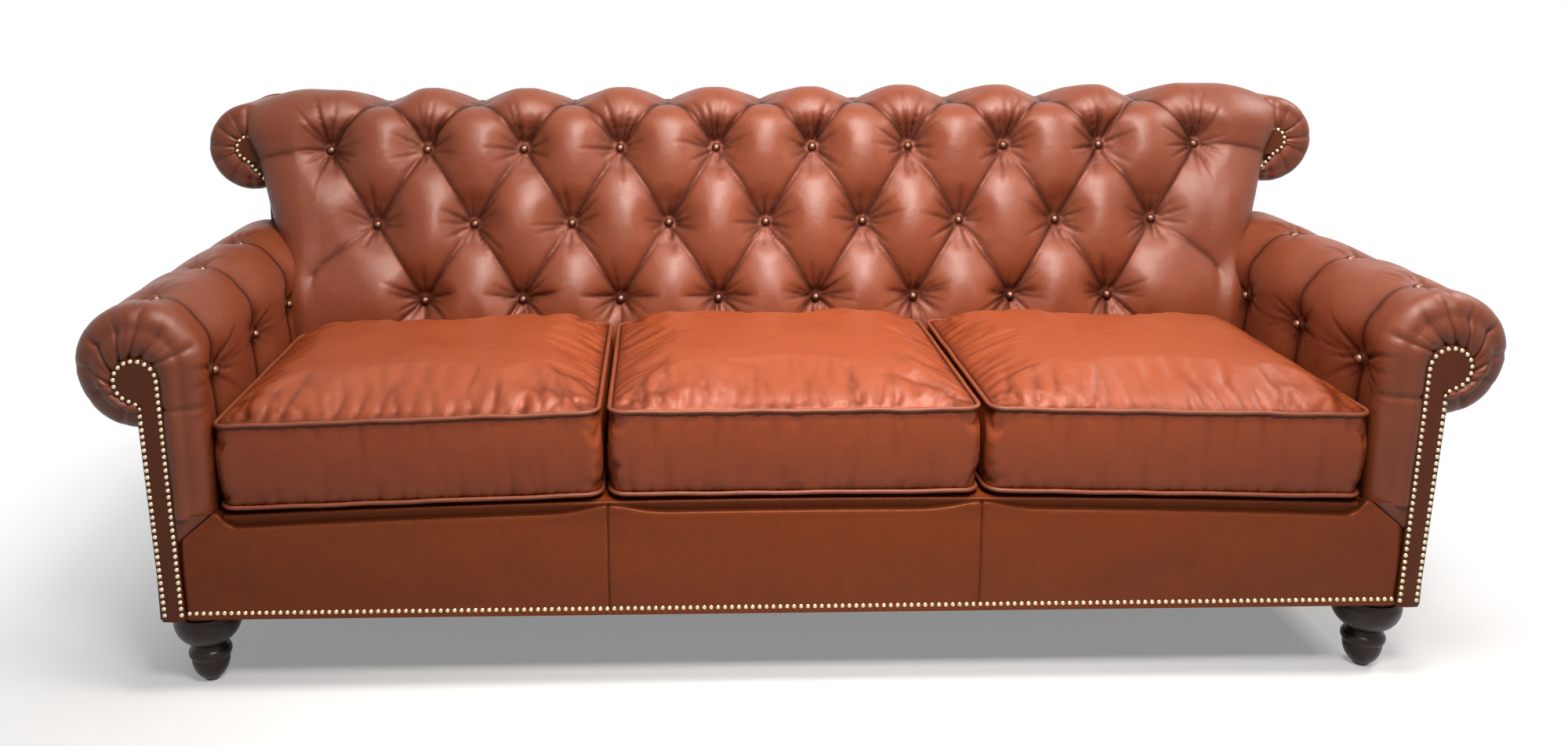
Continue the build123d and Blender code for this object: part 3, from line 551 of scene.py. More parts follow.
@dataclass(frozen=True)
class ClothFinish:
    """Woven cloth, felt or foam under cloth."""

    name: str
    light: Colour
    dark: Colour
    threads: float

    def material(self) -> bpy.types.Material:
        """Build the finish's material.

        Returns:
            The material.
        """
        made, wires, shader, where = fresh_material(self.name)
        weave = EFFECTS.weave.place(
            wires, Vector=where, Threads=self.threads, Light=self.light, Dark=self.dark
        )
        wires.feed(shader, "Base Color", weave.outputs["Color"])
        wires.feed(shader, "Roughness", 0.9)
        wires.feed(shader, "Sheen Weight", 0.2)
        bump(wires, shader, weave.outputs["Height"], 0.5, 0.0004)
        return made


@dataclass(frozen=True)
class MouldedFinish:
    """Moulded plastic with a fine spark-worn texture."""

    name: str
    light: Colour
    dark: Colour

    def material(self) -> bpy.types.Material:
        """Build the finish's material.

        Returns:
            The material.
        """
        made, wires, shader, where = fresh_material(self.name)
        speck = wires.noise(where, 900.0, 2.0)
        wires.feed(shader, "Base Color", wires.mix(speck, self.dark, self.light))
        wires.feed(shader, "Roughness", wires.span(speck, 0.2, 0.8, 0.42, 0.62))
        bump(wires, shader, speck, 0.3, 0.0001)
        return made


Finish = Union[LeatherFinish, TimberFinish, MetalFinish, ClothFinish, MouldedFinish]

# One finish for each material slot of the record
SLOT_FINISHES: tuple[Finish, ...] = (
    LeatherFinish(
        "cover_leather",
        (0.165, 0.036, 0.013, 1),
        (0.032, 0.0055, 0.0018, 1),
        (0.225, 0.052, 0.019, 1),
        gloss=0.33,
        shine=0.38,
    ),
    LeatherFinish(
        "cushion_leather",
        (0.235, 0.045, 0.013, 1),
        (0.048, 0.009, 0.003, 1),
        (0.300, 0.065, 0.021, 1),
        gloss=0.29,
        shine=0.28,
    ),
    # The panel leather is the cover's hide dyed darker, as painted shade for the fronts of the arms and
    # scrolls; the outside faces share it
    LeatherFinish(
        "panel_leather", (0.105, 0.023, 0.006, 1), (0.025, 0.006, 0.002, 1), (0.135, 0.031, 0.009, 1)
    ),
    LeatherFinish(
        "piping_leather",
        (0.180, 0.042, 0.016, 1),
        (0.040, 0.010, 0.005, 1),
        (0.250, 0.066, 0.027, 1),
        shine=0.35,
        pebble=900.0,
    ),
    LeatherFinish(
        "border_leather", (0.190, 0.036, 0.006, 1), (0.030, 0.007, 0.002, 1), (0.235, 0.048, 0.009, 1)
    ),
    MetalFinish(
        "button", (0.21, 0.100, 0.070, 1), (0.09, 0.037, 0.024, 1), age=0.6, gloss=0.34
    ),
    MetalFinish(
        "nail", (0.80, 0.68, 0.46, 1), (0.26, 0.19, 0.11, 1), age=0.45, gloss=0.32
    ),
    TimberFinish(
        "foot_wood", (0.030, 0.014, 0.009, 1), (0.010, 0.005, 0.004, 1), gloss=0.3, lacquer=0.12, shine=0.2
    ),
    TimberFinish(
        "frame_wood", (0.52, 0.36, 0.21, 1), (0.34, 0.21, 0.11, 1), gloss=0.6, lacquer=0.0
    ),
    ClothFinish("foam", (0.80, 0.74, 0.56, 1), (0.62, 0.55, 0.38, 1), threads=90.0),
    ClothFinish("webbing", (0.52, 0.42, 0.27, 1), (0.30, 0.23, 0.14, 1), threads=60.0),
    ClothFinish(
        "deck_cloth", (0.085, 0.050, 0.038, 1), (0.036, 0.021, 0.017, 1), threads=140.0
    ),
    ClothFinish(
        "dust_cloth", (0.030, 0.029, 0.029, 1), (0.012, 0.012, 0.012, 1), threads=160.0
    ),
    MetalFinish(
        "spring_wire", (0.50, 0.50, 0.52, 1), (0.22, 0.20, 0.19, 1), age=0.4, gloss=0.35
    ),
    MouldedFinish("clip_plastic", (0.11, 0.11, 0.11, 1), (0.06, 0.06, 0.06, 1)),
    MetalFinish(
        "bolt_steel", (0.62, 0.61, 0.58, 1), (0.36, 0.34, 0.30, 1), age=0.3, gloss=0.3
    ),
    MouldedFinish("glide_plastic", (0.07, 0.07, 0.07, 1), (0.04, 0.04, 0.04, 1)),
)


class Wardrobe:
    """Holds one material for each slot, and puts it on pieces and nodes."""

    def __init__(self) -> None:
        """Build the materials."""
        self.materials = {finish.name: finish.material() for finish in SLOT_FINISHES}

    def dress(self, piece: bpy.types.Object, slot: str) -> None:
        """Give a new piece its finish and name its slot."""
        piece.data.materials.append(self.materials[slot])

    def dress_nodes(self) -> None:
        """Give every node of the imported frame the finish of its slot."""
        for entry in frame["record"]["subparts"]:
            node = frame["nodes"][entry["node"]]
            node.data.materials.clear()
            node.data.materials.append(self.materials[entry["material_slot"]])


WARDROBE = Wardrobe()


# Surfaces


def drift(a: np.ndarray, b: np.ndarray, size: float, seed: int) -> np.ndarray:
    """Slow unevenness over a surface.

    Args:
        a: First coordinate, in millimetres.
        b: Second coordinate.
        size: Rough size of its swells, in millimetres.
        seed: Chooses the pattern.

    Returns:
        Values of about -1 to 1.
    """
    rng = np.random.default_rng(seed)
    total = np.zeros(np.broadcast(a, b).shape)
    for _ in range(6):
        turn, phase = rng.uniform(0, 2 * pi, 2)
        wave = 2 * pi / (size * rng.uniform(0.7, 1.6))
        total += np.sin(wave * (a * cos(turn) + b * sin(turn)) + phase)
    return total / 3.0


def ease(value: np.ndarray, low: float, high: float) -> np.ndarray:
    """A smooth step from 0 at low to 1 at high."""
    t = np.clip((value - low) / (high - low), 0.0, 1.0)
    return t * t * (3.0 - 2.0 * t)


def pad_rise(away: np.ndarray) -> np.ndarray:
    """How a pad rolls up out of a pleat, from 0 in the pleat to 1 where the pad is full."""
    return 0.68 * np.sin(0.5 * pi * away) + 0.32 * np.sqrt(1.0 - np.square(1.0 - away))


def set_back(flat: np.ndarray, y: float) -> np.ndarray:
    """Give points (x, z) one distance y, as points (x, z, y)."""
    return np.concatenate([flat, np.full((len(flat), 1), y)], axis=1)


def normals(points: np.ndarray) -> np.ndarray:
    """Unit normals of a grid of points, columns crossed with rows.

    Args:
        points: Rows by columns by 3.

    Returns:
        A normal for each point.
    """
    across = np.gradient(points, axis=1)
    along = np.gradient(points, axis=0)
    found = np.cross(across, along)
    return found / np.maximum(np.linalg.norm(found, axis=-1, keepdims=True), 1e-9)


class HideField:
    """How deep a stretched hide is pulled in, over a flat map of it, and where shade is painted on it."""

    def __init__(self, across: np.ndarray, along: np.ndarray, limit: float = 38.0) -> None:
        """Start with a hide that nothing pulls in.

        Args:
            across: The map's first coordinate at every point, in millimetres.
            along: The map's second coordinate.
            limit: The greatest depth, in millimetres.
        """
        self.limit = limit
        self.across, self.along = across, along
        self.open = np.ones(across.shape)
        self.folds = np.zeros(across.shape)
        self.pits = np.zeros(across.shape)
        # Painted shade lines along pleats, wrinkles and pits
        self.lines = np.zeros(across.shape)
        self.seats: list[tuple[Place, float, float]] = []

    def near(
        self, start: Place, end: Place, reach: float
    ) -> tuple[np.ndarray, np.ndarray, np.ndarray]:
        """Points near a line on the map.

        Args:
            start: One end of the line.
            end: The other end.
            reach: How far to look.

        Returns:
            A mask, and for its points the share along the line and the distance from it.
        """
        low = np.minimum(start, end) - reach
        high = np.maximum(start, end) + reach
        mask = (self.across > low[0]) & (self.across < high[0])
        mask &= (self.along > low[1]) & (self.along < high[1])
        da, db = self.across[mask] - start[0], self.along[mask] - start[1]
        run = (end[0] - start[0], end[1] - start[1])
        length = max(run[0] ** 2 + run[1] ** 2, 1e-6)
        share = np.clip((da * run[0] + db * run[1]) / length, 0.0, 1.0)
        return mask, share, np.hypot(da - share * run[0], db - share * run[1])

    def pleat(
        self,
        start: Place,
        end: Place,
        depth: Place,
        crisp: float = 9.0,
        broad: float = 50.0,
        sag: float = 0.0,
    ) -> None:
        """A folded pleat between two points, with a painted shade line along its crease.

        Args:
            start: Where it starts on the map.
            end: Where it ends.
            depth: Its depth at both ends.
            crisp: Width of the crease itself.
            broad: Width over which the padding rolls into it.
            sag: How much shallower it is half way.
        """
        mask, share, gap = self.near(start, end, broad)
        deep = depth[0] + (depth[1] - depth[0]) * share
        deep = deep * (1.0 - sag * 4.0 * share * (1.0 - share))
        away = np.clip(gap / broad, 0.0, 1.0)
        rise = pad_rise(away)
        self.open[mask] *= 1.0 - np.clip(deep / self.limit, 0.0, 1.0) * (1.0 - rise)
        # Painted shade along the pleat's crease
        line = np.exp(-gap / (0.5 * crisp)) * np.clip(deep / 6.0, 0.0, 1.0)
        self.lines[mask] = np.maximum(self.lines[mask], line)

    def crease(self, start: Place, end: Place, depth: float, width: float) -> None:
        """Draw a small wrinkle that fades from its start to its end, with painted shade in it.

        Args:
            start: Where it starts on the map.
            end: Where it ends.
            depth: Its greatest depth.
            width: Its width.
        """
        mask, share, gap = self.near(start, end, 4.0 * width)
        fade = (1.0 - share) ** 0.8 * np.minimum(1.0, 0.35 + 5.0 * share)
        dent = np.exp(-gap / width)
        lip = 0.3 * np.exp(-((gap / width / 2.6) ** 2))
        self.folds[mask] += depth * fade * (dent - lip)
        # Painted shade in the wrinkle
        line = 0.11 * depth * fade * dent
        self.lines[mask] = np.maximum(self.lines[mask], line)

    def pit(self, place: Place, depth: float, radius: float) -> None:
        """Sink the hollow that a button is pulled into, with painted shade in it.

        Args:
            place: The button's place on the map.
            depth: Depth of the hollow.
            radius: Its radius.
        """
        mask, _, gap = self.near(place, place, 3.0 * radius)
        self.pits[mask] += depth * np.exp(-((gap / radius) ** 1.5))
        # Painted shade in the button's hollow
        self.lines[mask] = np.maximum(self.lines[mask], 0.8 * np.exp(-((gap / (0.7 * radius)) ** 2)))

    def seat(self, place: Place, depth: float, radius: float = 11.0) -> None:
        """A level seat for a button, at a depth of its own."""
        self.seats.append((place, depth, radius))

    def pucker(
        self,
        place: Place,
        count: int,
        reach: Place,
        depth: float,
        seed: int,
        turn: Place = (0.0, 2 * pi),
    ) -> None:
        """Wrinkles that run out from a point.

        Args:
            place: The point.
            count: How many.
            reach: Their shortest and longest run.
            depth: Depth of the deepest.
            seed: Chooses their pattern.
            turn: The range of directions, in radians.
        """
        rng = np.random.default_rng(seed)
        step = (turn[1] - turn[0]) / count
        for i in range(count):
            angle = turn[0] + (i + 0.5 + rng.uniform(-0.35, 0.35)) * step
            run = rng.uniform(*reach)
            bend = rng.uniform(-0.12, 0.12)
            start = (place[0] + 9.0 * cos(angle), place[1] + 9.0 * sin(angle))
            end = (place[0] + run * cos(angle + bend), place[1] + run * sin(angle + bend))
            self.crease(start, end, depth * rng.uniform(0.45, 1.0), rng.uniform(2.6, 5.0))

    def depth(self) -> np.ndarray:
        """Add up all the pulls.

        Returns:
            The depth at each point.
        """
        deep = np.minimum(self.limit * (1.0 - self.open) + self.pits, self.limit)
        folds = np.where(self.folds < 0.0, 0.3 * self.folds, self.folds)
        deep = deep + folds * np.clip(1.5 - deep / self.limit, 0.25, 1.0)
        for place, level, radius in self.seats:
            mask, _, gap = self.near(place, place, 2.0 * radius)
            hold = np.exp(-((gap / radius) ** 4))
            deep[mask] = deep[mask] * (1.0 - hold) + level * hold
        return deep

    def shade(self, deep: np.ndarray) -> np.ndarray:
        """Painted shade at each point, from the shade lines on it and from its depth."""
        sunk = np.clip((deep / self.limit - 0.4) / 0.6, 0.0, 1.0) ** 1.5
        return np.clip(0.85 * self.lines + 0.35 * sunk, 0.0, 1.0)


class Skin:
    """Grids of points that become one mesh, with a painted shade value at each point."""

    def __init__(self) -> None:
        """Start with nothing."""
        self.points: list[np.ndarray] = []
        self.faces: list[np.ndarray] = []
        self.creases: list[np.ndarray] = []
        self.count = 0

    def grid(
        self,
        points: np.ndarray,
        crease: Optional[np.ndarray] = None,
        flip: bool = False,
        wrap: bool = False,
    ) -> np.ndarray:
        """Add a grid of quads.

        Args:
            points: Rows by columns by 3, in millimetres.
            crease: Painted shade, rows by columns, from 0 to 1.
            flip: Turn the faces over.
            wrap: Join the last column to the first.

        Returns:
            The index of each point in the mesh.
        """
        rows, columns = points.shape[:2]
        index = np.arange(rows * columns).reshape(rows, columns) + self.count
        ring = np.concatenate([index, index[:, :1]], axis=1) if wrap else index
        quads = np.stack([ring[:-1, :-1], ring[:-1, 1:], ring[1:, 1:], ring[1:, :-1]], axis=-1)
        quads = quads.reshape(-1, 4)
        self.points.append(points.reshape(-1, 3))
        self.faces.append(quads[:, ::-1] if flip else quads)
        self.creases.append(np.zeros(rows * columns) if crease is None else crease.ravel())
        self.count += rows * columns
        return index

    def tube(self, path: np.ndarray, radius: float, closed: bool, sides: int = 10) -> None:
        """Add a round cord along a path.

        Args:
            path: Points in millimetres.
            radius: The cord's radius.
            closed: Whether the path joins up.
            sides: Faces round the cord.
        """
        if closed:
            way = np.roll(path, -1, axis=0) - np.roll(path, 1, axis=0)
        else:
            way = np.gradient(path, axis=0)
        way = way / np.linalg.norm(way, axis=1, keepdims=True)
        upright = abs(way[:, 2]).max() >= 0.9
        flat = np.cross(way, (0.0, 1.0, 0.0) if upright else (0.0, 0.31, 0.95))
        flat = flat / np.linalg.norm(flat, axis=1, keepdims=True)
        over = np.cross(flat, way)
        turn = np.linspace(0, 2 * pi, sides, endpoint=False)
        ring = path[:, None] + radius * (
            np.cos(turn)[None, :, None] * flat[:, None] + np.sin(turn)[None, :, None] * over[:, None]
        )
        if closed:
            ring = np.concatenate([ring, ring[:1]], axis=0)
        self.grid(ring, wrap=True)

    def piece(self, name: str, side: Side = Side.RIGHT) -> bpy.types.Object:
        """Make the mesh.

        Args:
            name: The piece's name.
            side: LEFT mirrors a right-hand shape.

        Returns:
            The new object, smooth shaded.
        """
        points = np.concatenate(self.points) * MM
        faces = np.concatenate(self.faces)
        if side is Side.LEFT:
            points = points * (-1, 1, 1)
            faces = faces[:, ::-1]
        mesh = bpy.data.meshes.new(name)
        mesh.from_pydata(points.tolist(), [], faces.tolist())
        mesh.shade_smooth()
        # The crease attribute carries the painted shade to the leather
        crease = mesh.attributes.new("crease", "FLOAT", "POINT")
        crease.data.foreach_set("value", np.concatenate(self.creases).astype(np.float32))
        made = bpy.data.objects.new(name, mesh)
        bpy.context.scene.collection.objects.link(made)
        return made


def fit_out(piece: bpy.types.Object, slot: str, body: str, *nodes: str) -> bpy.types.Object:
    """Dress a piece, set it on its body and let it stand for nodes.

    Args:
        piece: The piece.
        slot: Its material slot.
        body: The body it rides on.
        nodes: The nodes that it replaces.

    Returns:
        The piece.
    """
    WARDROBE.dress(piece, slot)
    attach(piece, body)
    if nodes:
        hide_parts(*nodes)
    LOG.info("%s: %d points", piece.name, len(piece.data.vertices))
    return piece


# Sub-assemblies


@dataclass
class Plan:
    """Places that several sub-assemblies share, in millimetres."""

    arm_in: float = 934.0
    arm_out: float = 1034.0
    facing_y: float = -472.65
    panel_y: float = -476.65
    border_y: float = -471.65
    back_y: float = 80.35
    scroll_panel_y: float = 239.15
    scroll_facing_y: float = 243.15
    rear_in_y: float = 473.15
    rear_y: float = 479.15
    base_z: float = 135.0
    deck_z: float = 331.0
    deck_arc: float = 21819.0
    seam_x: float = 302.0

    def deck(self, x: np.ndarray) -> np.ndarray:
        """Height of the crowned deck at a distance from the middle."""
        return self.deck_z - self.deck_arc + np.sqrt(self.deck_arc**2 - np.square(x))


PLAN = Plan()


@dataclass
class ButtonedBack:
    """The inside back: a leaning, rolled-over pad pulled into diamonds by buttons."""

    break_z: float = 516.0
    recline: float = 18.8
    roll: float = 100.0
    roll_up: float = 363.6
    top_angle: float = 82.0
    rear_fall: float = 13.0
    half: float = 1068.0
    edge_z: tuple[float, ...] = (400.0, 520.0, 640.0, 680.0, 812.0, 852.0)
    edge_half: tuple[float, ...] = (985.0, 985.0, 990.0, 1003.0, 1044.0, 1068.0)
    end_round: float = 112.0
    end_depth: float = 52.0
    shoulder_round: float = 125.0
    shoulder_drop: float = 31.0
    plump: float = 7.0
    pitch: float = 198.0
    low_row: int = 8
    rows: tuple[float, ...] = (12.0, 167.3, 322.6, 478.0)
    button_depth: float = 38.0
    pleat: float = 28.0
    rear_pleat: float = 25.0
    ease: float = 60.0
    foot_up: float = -192.0
    foot_draw: float = 12.0
    skirt: tuple[float, ...] = (0.0, 10.0, 24.0, 44.0, 70.0)
    steady: float = 900.0  # out to here the pad isn't narrowed
    step: float = 4.3

    def profile(self, up: np.ndarray) -> tuple[np.ndarray, np.ndarray]:
        """The pad's side view.

        Args:
            up: Distances along its face from the break above the seat.

        Returns:
            Points (y, z) and outward normals.
        """
        lean = radians(self.recline)
        slope = radians(90.0 - self.top_angle)
        arc = radians(180.0 - self.recline - self.top_angle)
        roll_end = self.roll_up + self.roll * arc
        face = np.stack([PLAN.back_y + up * sin(lean), self.break_z + up * cos(lean)], -1)
        fine = np.linspace(self.foot_up - 10.0, self.ease, 600)
        tilt = lean * ease(fine, -self.ease, self.ease)
        climb = np.cumsum(np.stack([np.sin(tilt), np.cos(tilt)], -1), axis=0) * (fine[1] - fine[0])
        joint = np.array([PLAN.back_y + self.ease * sin(lean), self.break_z + self.ease * cos(lean)])
        climb += joint - climb[-1]
        foot = np.stack([np.interp(up, fine, climb[:, i]) for i in range(2)], -1)
        foot_tilt = np.interp(up, fine, tilt)
        turn = pi - lean - (up - self.roll_up) / self.roll
        centre = np.array(
            [
                PLAN.back_y + self.roll_up * sin(lean) + self.roll * cos(lean),
                self.break_z + self.roll_up * cos(lean) - self.roll * sin(lean),
            ]
        )
        out = np.stack([np.cos(turn), np.sin(turn)], -1)
        end = centre + self.roll * np.array([sin(slope), cos(slope)])
        run = (PLAN.rear_in_y - end[0]) / cos(slope)
        along = np.clip(up - roll_end, 0.0, run)
        drop = np.clip(up - roll_end - run, 0.0, None)
        top = end + along[:, None] * np.array([cos(slope), -sin(slope)])
        top[:, 1] -= drop + self.rear_fall * (along / run) ** 2
        place = np.where((up < self.ease)[:, None], foot, face)
        place = np.where((up > self.roll_up)[:, None], centre + self.roll * out, place)
        place = np.where((up > roll_end)[:, None], top, place)
        normal = np.stack([-np.cos(foot_tilt), np.sin(foot_tilt)], -1)
        normal = np.where((up > self.roll_up)[:, None], out, normal)
        normal = np.where((up > roll_end)[:, None], [sin(slope), cos(slope)], normal)
        normal = np.where((drop > 0)[:, None], [1.0, 0.0], normal)
        return place, normal

    def row_places(self, row: int) -> np.ndarray:
        """Where the buttons or dips of a row stand across the sofa."""
        count = self.low_row + (row if row < 3 else 1)
        return (np.arange(count) - (count - 1) / 2) * self.pitch

    def tuft(self, across: np.ndarray, up: np.ndarray) -> HideField:
        """Pull the pad in along its pleats and at its buttons.

        Args:
            across: Distance from the middle at each point.
            up: Distance along the face.

        Returns:
            The field of depths.
        """
        hide = HideField(across, up, self.button_depth)
        for row in range(3):
            for x in self.row_places(row):
                for higher in self.row_places(row + 1):
                    if abs(abs(higher - x) - self.pitch / 2) < 1.0:
                        ends = (self.pleat, self.pleat)
                        sag = 0.12 if row == 2 else 0.22
                        above = (higher, self.rows[row + 1])
                        hide.pleat((x, self.rows[row]), above, ends, broad=82.0, sag=sag)
        for x in self.row_places(3):
            hide.pleat((x, self.rows[3]), (x, 690.0), (self.pleat, self.rear_pleat), broad=96.0)
            hide.pucker((x, self.rows[3]), 6, (45.0, 95.0), 3.0, int(x) + 9100, (0.2 * pi, 0.8 * pi))
        for x in self.row_places(0):
            hide.pleat((x, self.rows[0]), (x, self.foot_up - 6.0), (21.0, 12.0), broad=80.0)
        for side in (-1, 1):
            tops, middles, lows = (side * self.row_places(r)[-1] for r in (2, 1, 0))
            hide.pleat((tops, self.rows[2]), (side * 1075.0, 304.0), (22.0, 9.0), broad=150.0)
            hide.pleat((middles, self.rows[1]), (side * 925.0, 62.0), (23.0, 14.0), broad=140.0)
            hide.pleat((lows, self.rows[0]), (side * 775.0, -75.0), (22.0, 12.0), broad=76.0)
        for row in range(3):
            for i, x in enumerate(self.row_places(row)):
                seed = 100 * row + i
                hide.pit((x, self.rows[row]), 4.0, 20.0)
                hide.seat((x, self.rows[row]), self.button_depth)
                hide.pucker((x, self.rows[row]), 13, (36.0, 90.0), 11.0, seed)
                if row == 2:
                    fan = (0.27 * pi, 0.73 * pi)
                    hide.pucker((x, self.rows[row]), 7, (80.0, 150.0), 13.0, seed + 500, fan)
                if row == 0:
                    for way in (-1, 1):
                        fold = (x + way * (70.0 + 12.0 * sin(7.0 * i)), 20.0 + 6.0 * cos(5.0 * i))
                        hide.pleat((x, self.rows[row]), fold, (17.0, 0.0), 5.0, 28.0)
                    fan = (-0.8 * pi, -0.2 * pi)
                    hide.pucker((x, self.rows[row]), 5, (55.0, 110.0), 10.0, seed + 700, fan)
        return hide

    def build(self) -> None:
        """Make the pad."""
        columns = np.linspace(-self.half, self.half, int(2 * self.half / self.step))
        skirt = np.array(self.skirt)
        flat = np.concatenate([np.full(len(skirt), -self.half), columns, np.full(len(skirt), self.half)])
        extra = np.concatenate([skirt[::-1], np.zeros(len(columns)), skirt])
        face = np.arange(-36.0, 540.0, 0.9 * self.step)
        up = np.concatenate([np.arange(self.foot_up, -37.0, 9.0), face, np.arange(548.0, 700.0, 9.0)])
        place, normal = self.profile(up)
        hide = self.tuft(*np.meshgrid(flat, up))
        deep = hide.depth() + 1.4 * drift(flat[None, :], up[:, None], 150.0, 5)
        deep = deep + self.foot_draw * ease(-up, 90.0, 150.0)[:, None]
        share = np.clip((np.abs(flat) - self.half + self.end_round) / self.end_round, 0.0, 1.0)
        side_drop = self.end_depth * (1.0 - np.sqrt(1.0 - share**2)) + extra
        fall = np.clip((np.abs(flat) - self.half + self.shoulder_round) / self.shoulder_round, 0.0, 1.0)
        top_drop = self.shoulder_drop * fall**2 + extra
        over = ease(up, 345.0, 425.0)[:, None]
        ends = side_drop * (1.0 - over) + top_drop * over
        half = np.interp(place[:, 1], self.edge_z, self.edge_half)
        outer = np.clip(np.abs(flat) - self.steady, 0.0, None)
        outer = outer * (half[:, None] - self.steady) / (self.half - self.steady)
        x = np.sign(flat) * (np.minimum(np.abs(flat), self.steady) + outer)
        proud = self.plump * np.clip(1.0 - deep / 26.0, 0.0, 1.0) * (1.0 - share) * (1.0 - over)
        sunk = np.maximum(deep, -2.5) * (1.0 - 0.5 * share) + ends - proud
        points = np.empty((len(up), len(flat), 3))
        points[..., 0] = x
        points[..., 1:] = place[:, None] - normal[:, None] * sunk[..., None]
        skin = Skin()
        skin.grid(points, hide.shade(deep))
        made = fit_out(skin.piece("buttoned_back"), "cover_leather", CHASSIS, "back_cover", "back_foam")


@dataclass
class Keyhole:
    """A trimmed front panel: a round head on a tapering stem."""

    x: float
    z: float
    head: float
    low: float
    neck: tuple[float, float]
    stem_in: float = 988.0
    stem_out: float = 1026.0
    turn: float = -75.0

    def edges(self, z: np.ndarray) -> tuple[np.ndarray, np.ndarray]:
        """The panel's two edges.

        Args:
            z: Heights.

        Returns:
            X of the inner edge and of the outer edge at each height.
        """
        rise = np.clip((z - self.low) / (self.z - self.low), 0.0, 1.0)
        circle = np.sqrt(np.maximum(self.head**2 - np.square(z - self.z), 0.0))
        slant = self.stem_in + rise * (self.x - self.head - self.stem_in)
        inner = np.where(z < self.z, slant, self.x - circle)
        climb = np.clip((z - self.low) / (self.neck[1] - self.low), 0.0, 1.0)
        stem = self.stem_out + climb * (self.neck[0] - self.stem_out)
        tail = self.z + self.head * sin(radians(self.turn))
        outer = np.where(z < tail, stem, self.x + circle)
        return inner, np.maximum(outer, np.where(z < self.z, stem, outer))

    def build(self, name: str, side: Side, front: float, rear: float, node: str) -> None:
        """Make the padded panel.

        Args:
            name: The piece's name.
            side: The half it belongs to.
            front: Y of its face.
            rear: Y that its edge runs back to.
            node: The node that it replaces.
        """
        stem = np.linspace(self.low, self.z - self.head, 70)
        turn = np.linspace(-pi / 2, pi / 2, 34)[1:]
        z = np.concatenate([stem, self.z + self.head * np.sin(turn)])
        inner, outer = self.edges(z)
        share = np.array(
            [0.0, 0.0, 0.012, 0.035, 0.09, 0.2, 0.35, 0.5, 0.65, 0.8, 0.91, 0.965, 0.988, 1.0, 1.0]
        )
        x = inner[:, None] + (outer - inner)[:, None] * share
        gap = np.minimum(x - inner[:, None], outer[:, None] - x)
        crown = np.clip(self.head - np.hypot(x - self.x, z[:, None] - self.z), 0.0, None)
        gap = np.where(z[:, None] > self.z, crown, gap)
        sunk = 2.4 * np.exp(-gap / 1.3) - 1.2 * (1.0 - np.exp(-np.square(gap / 14.0)))
        points = np.empty(x.shape + (3,))
        points[..., 0] = x
        points[..., 1] = front + sunk
        points[..., 2] = z[:, None]
        points[:, (0, -1), 1] = rear
        skin = Skin()
        # Painted shade along the panel's tucked edge
        skin.grid(points, np.clip(0.6 * np.exp(-gap / 2.5), 0.0, 1.0))
        fit_out(skin.piece(name, side), "panel_leather", CHASSIS, node)


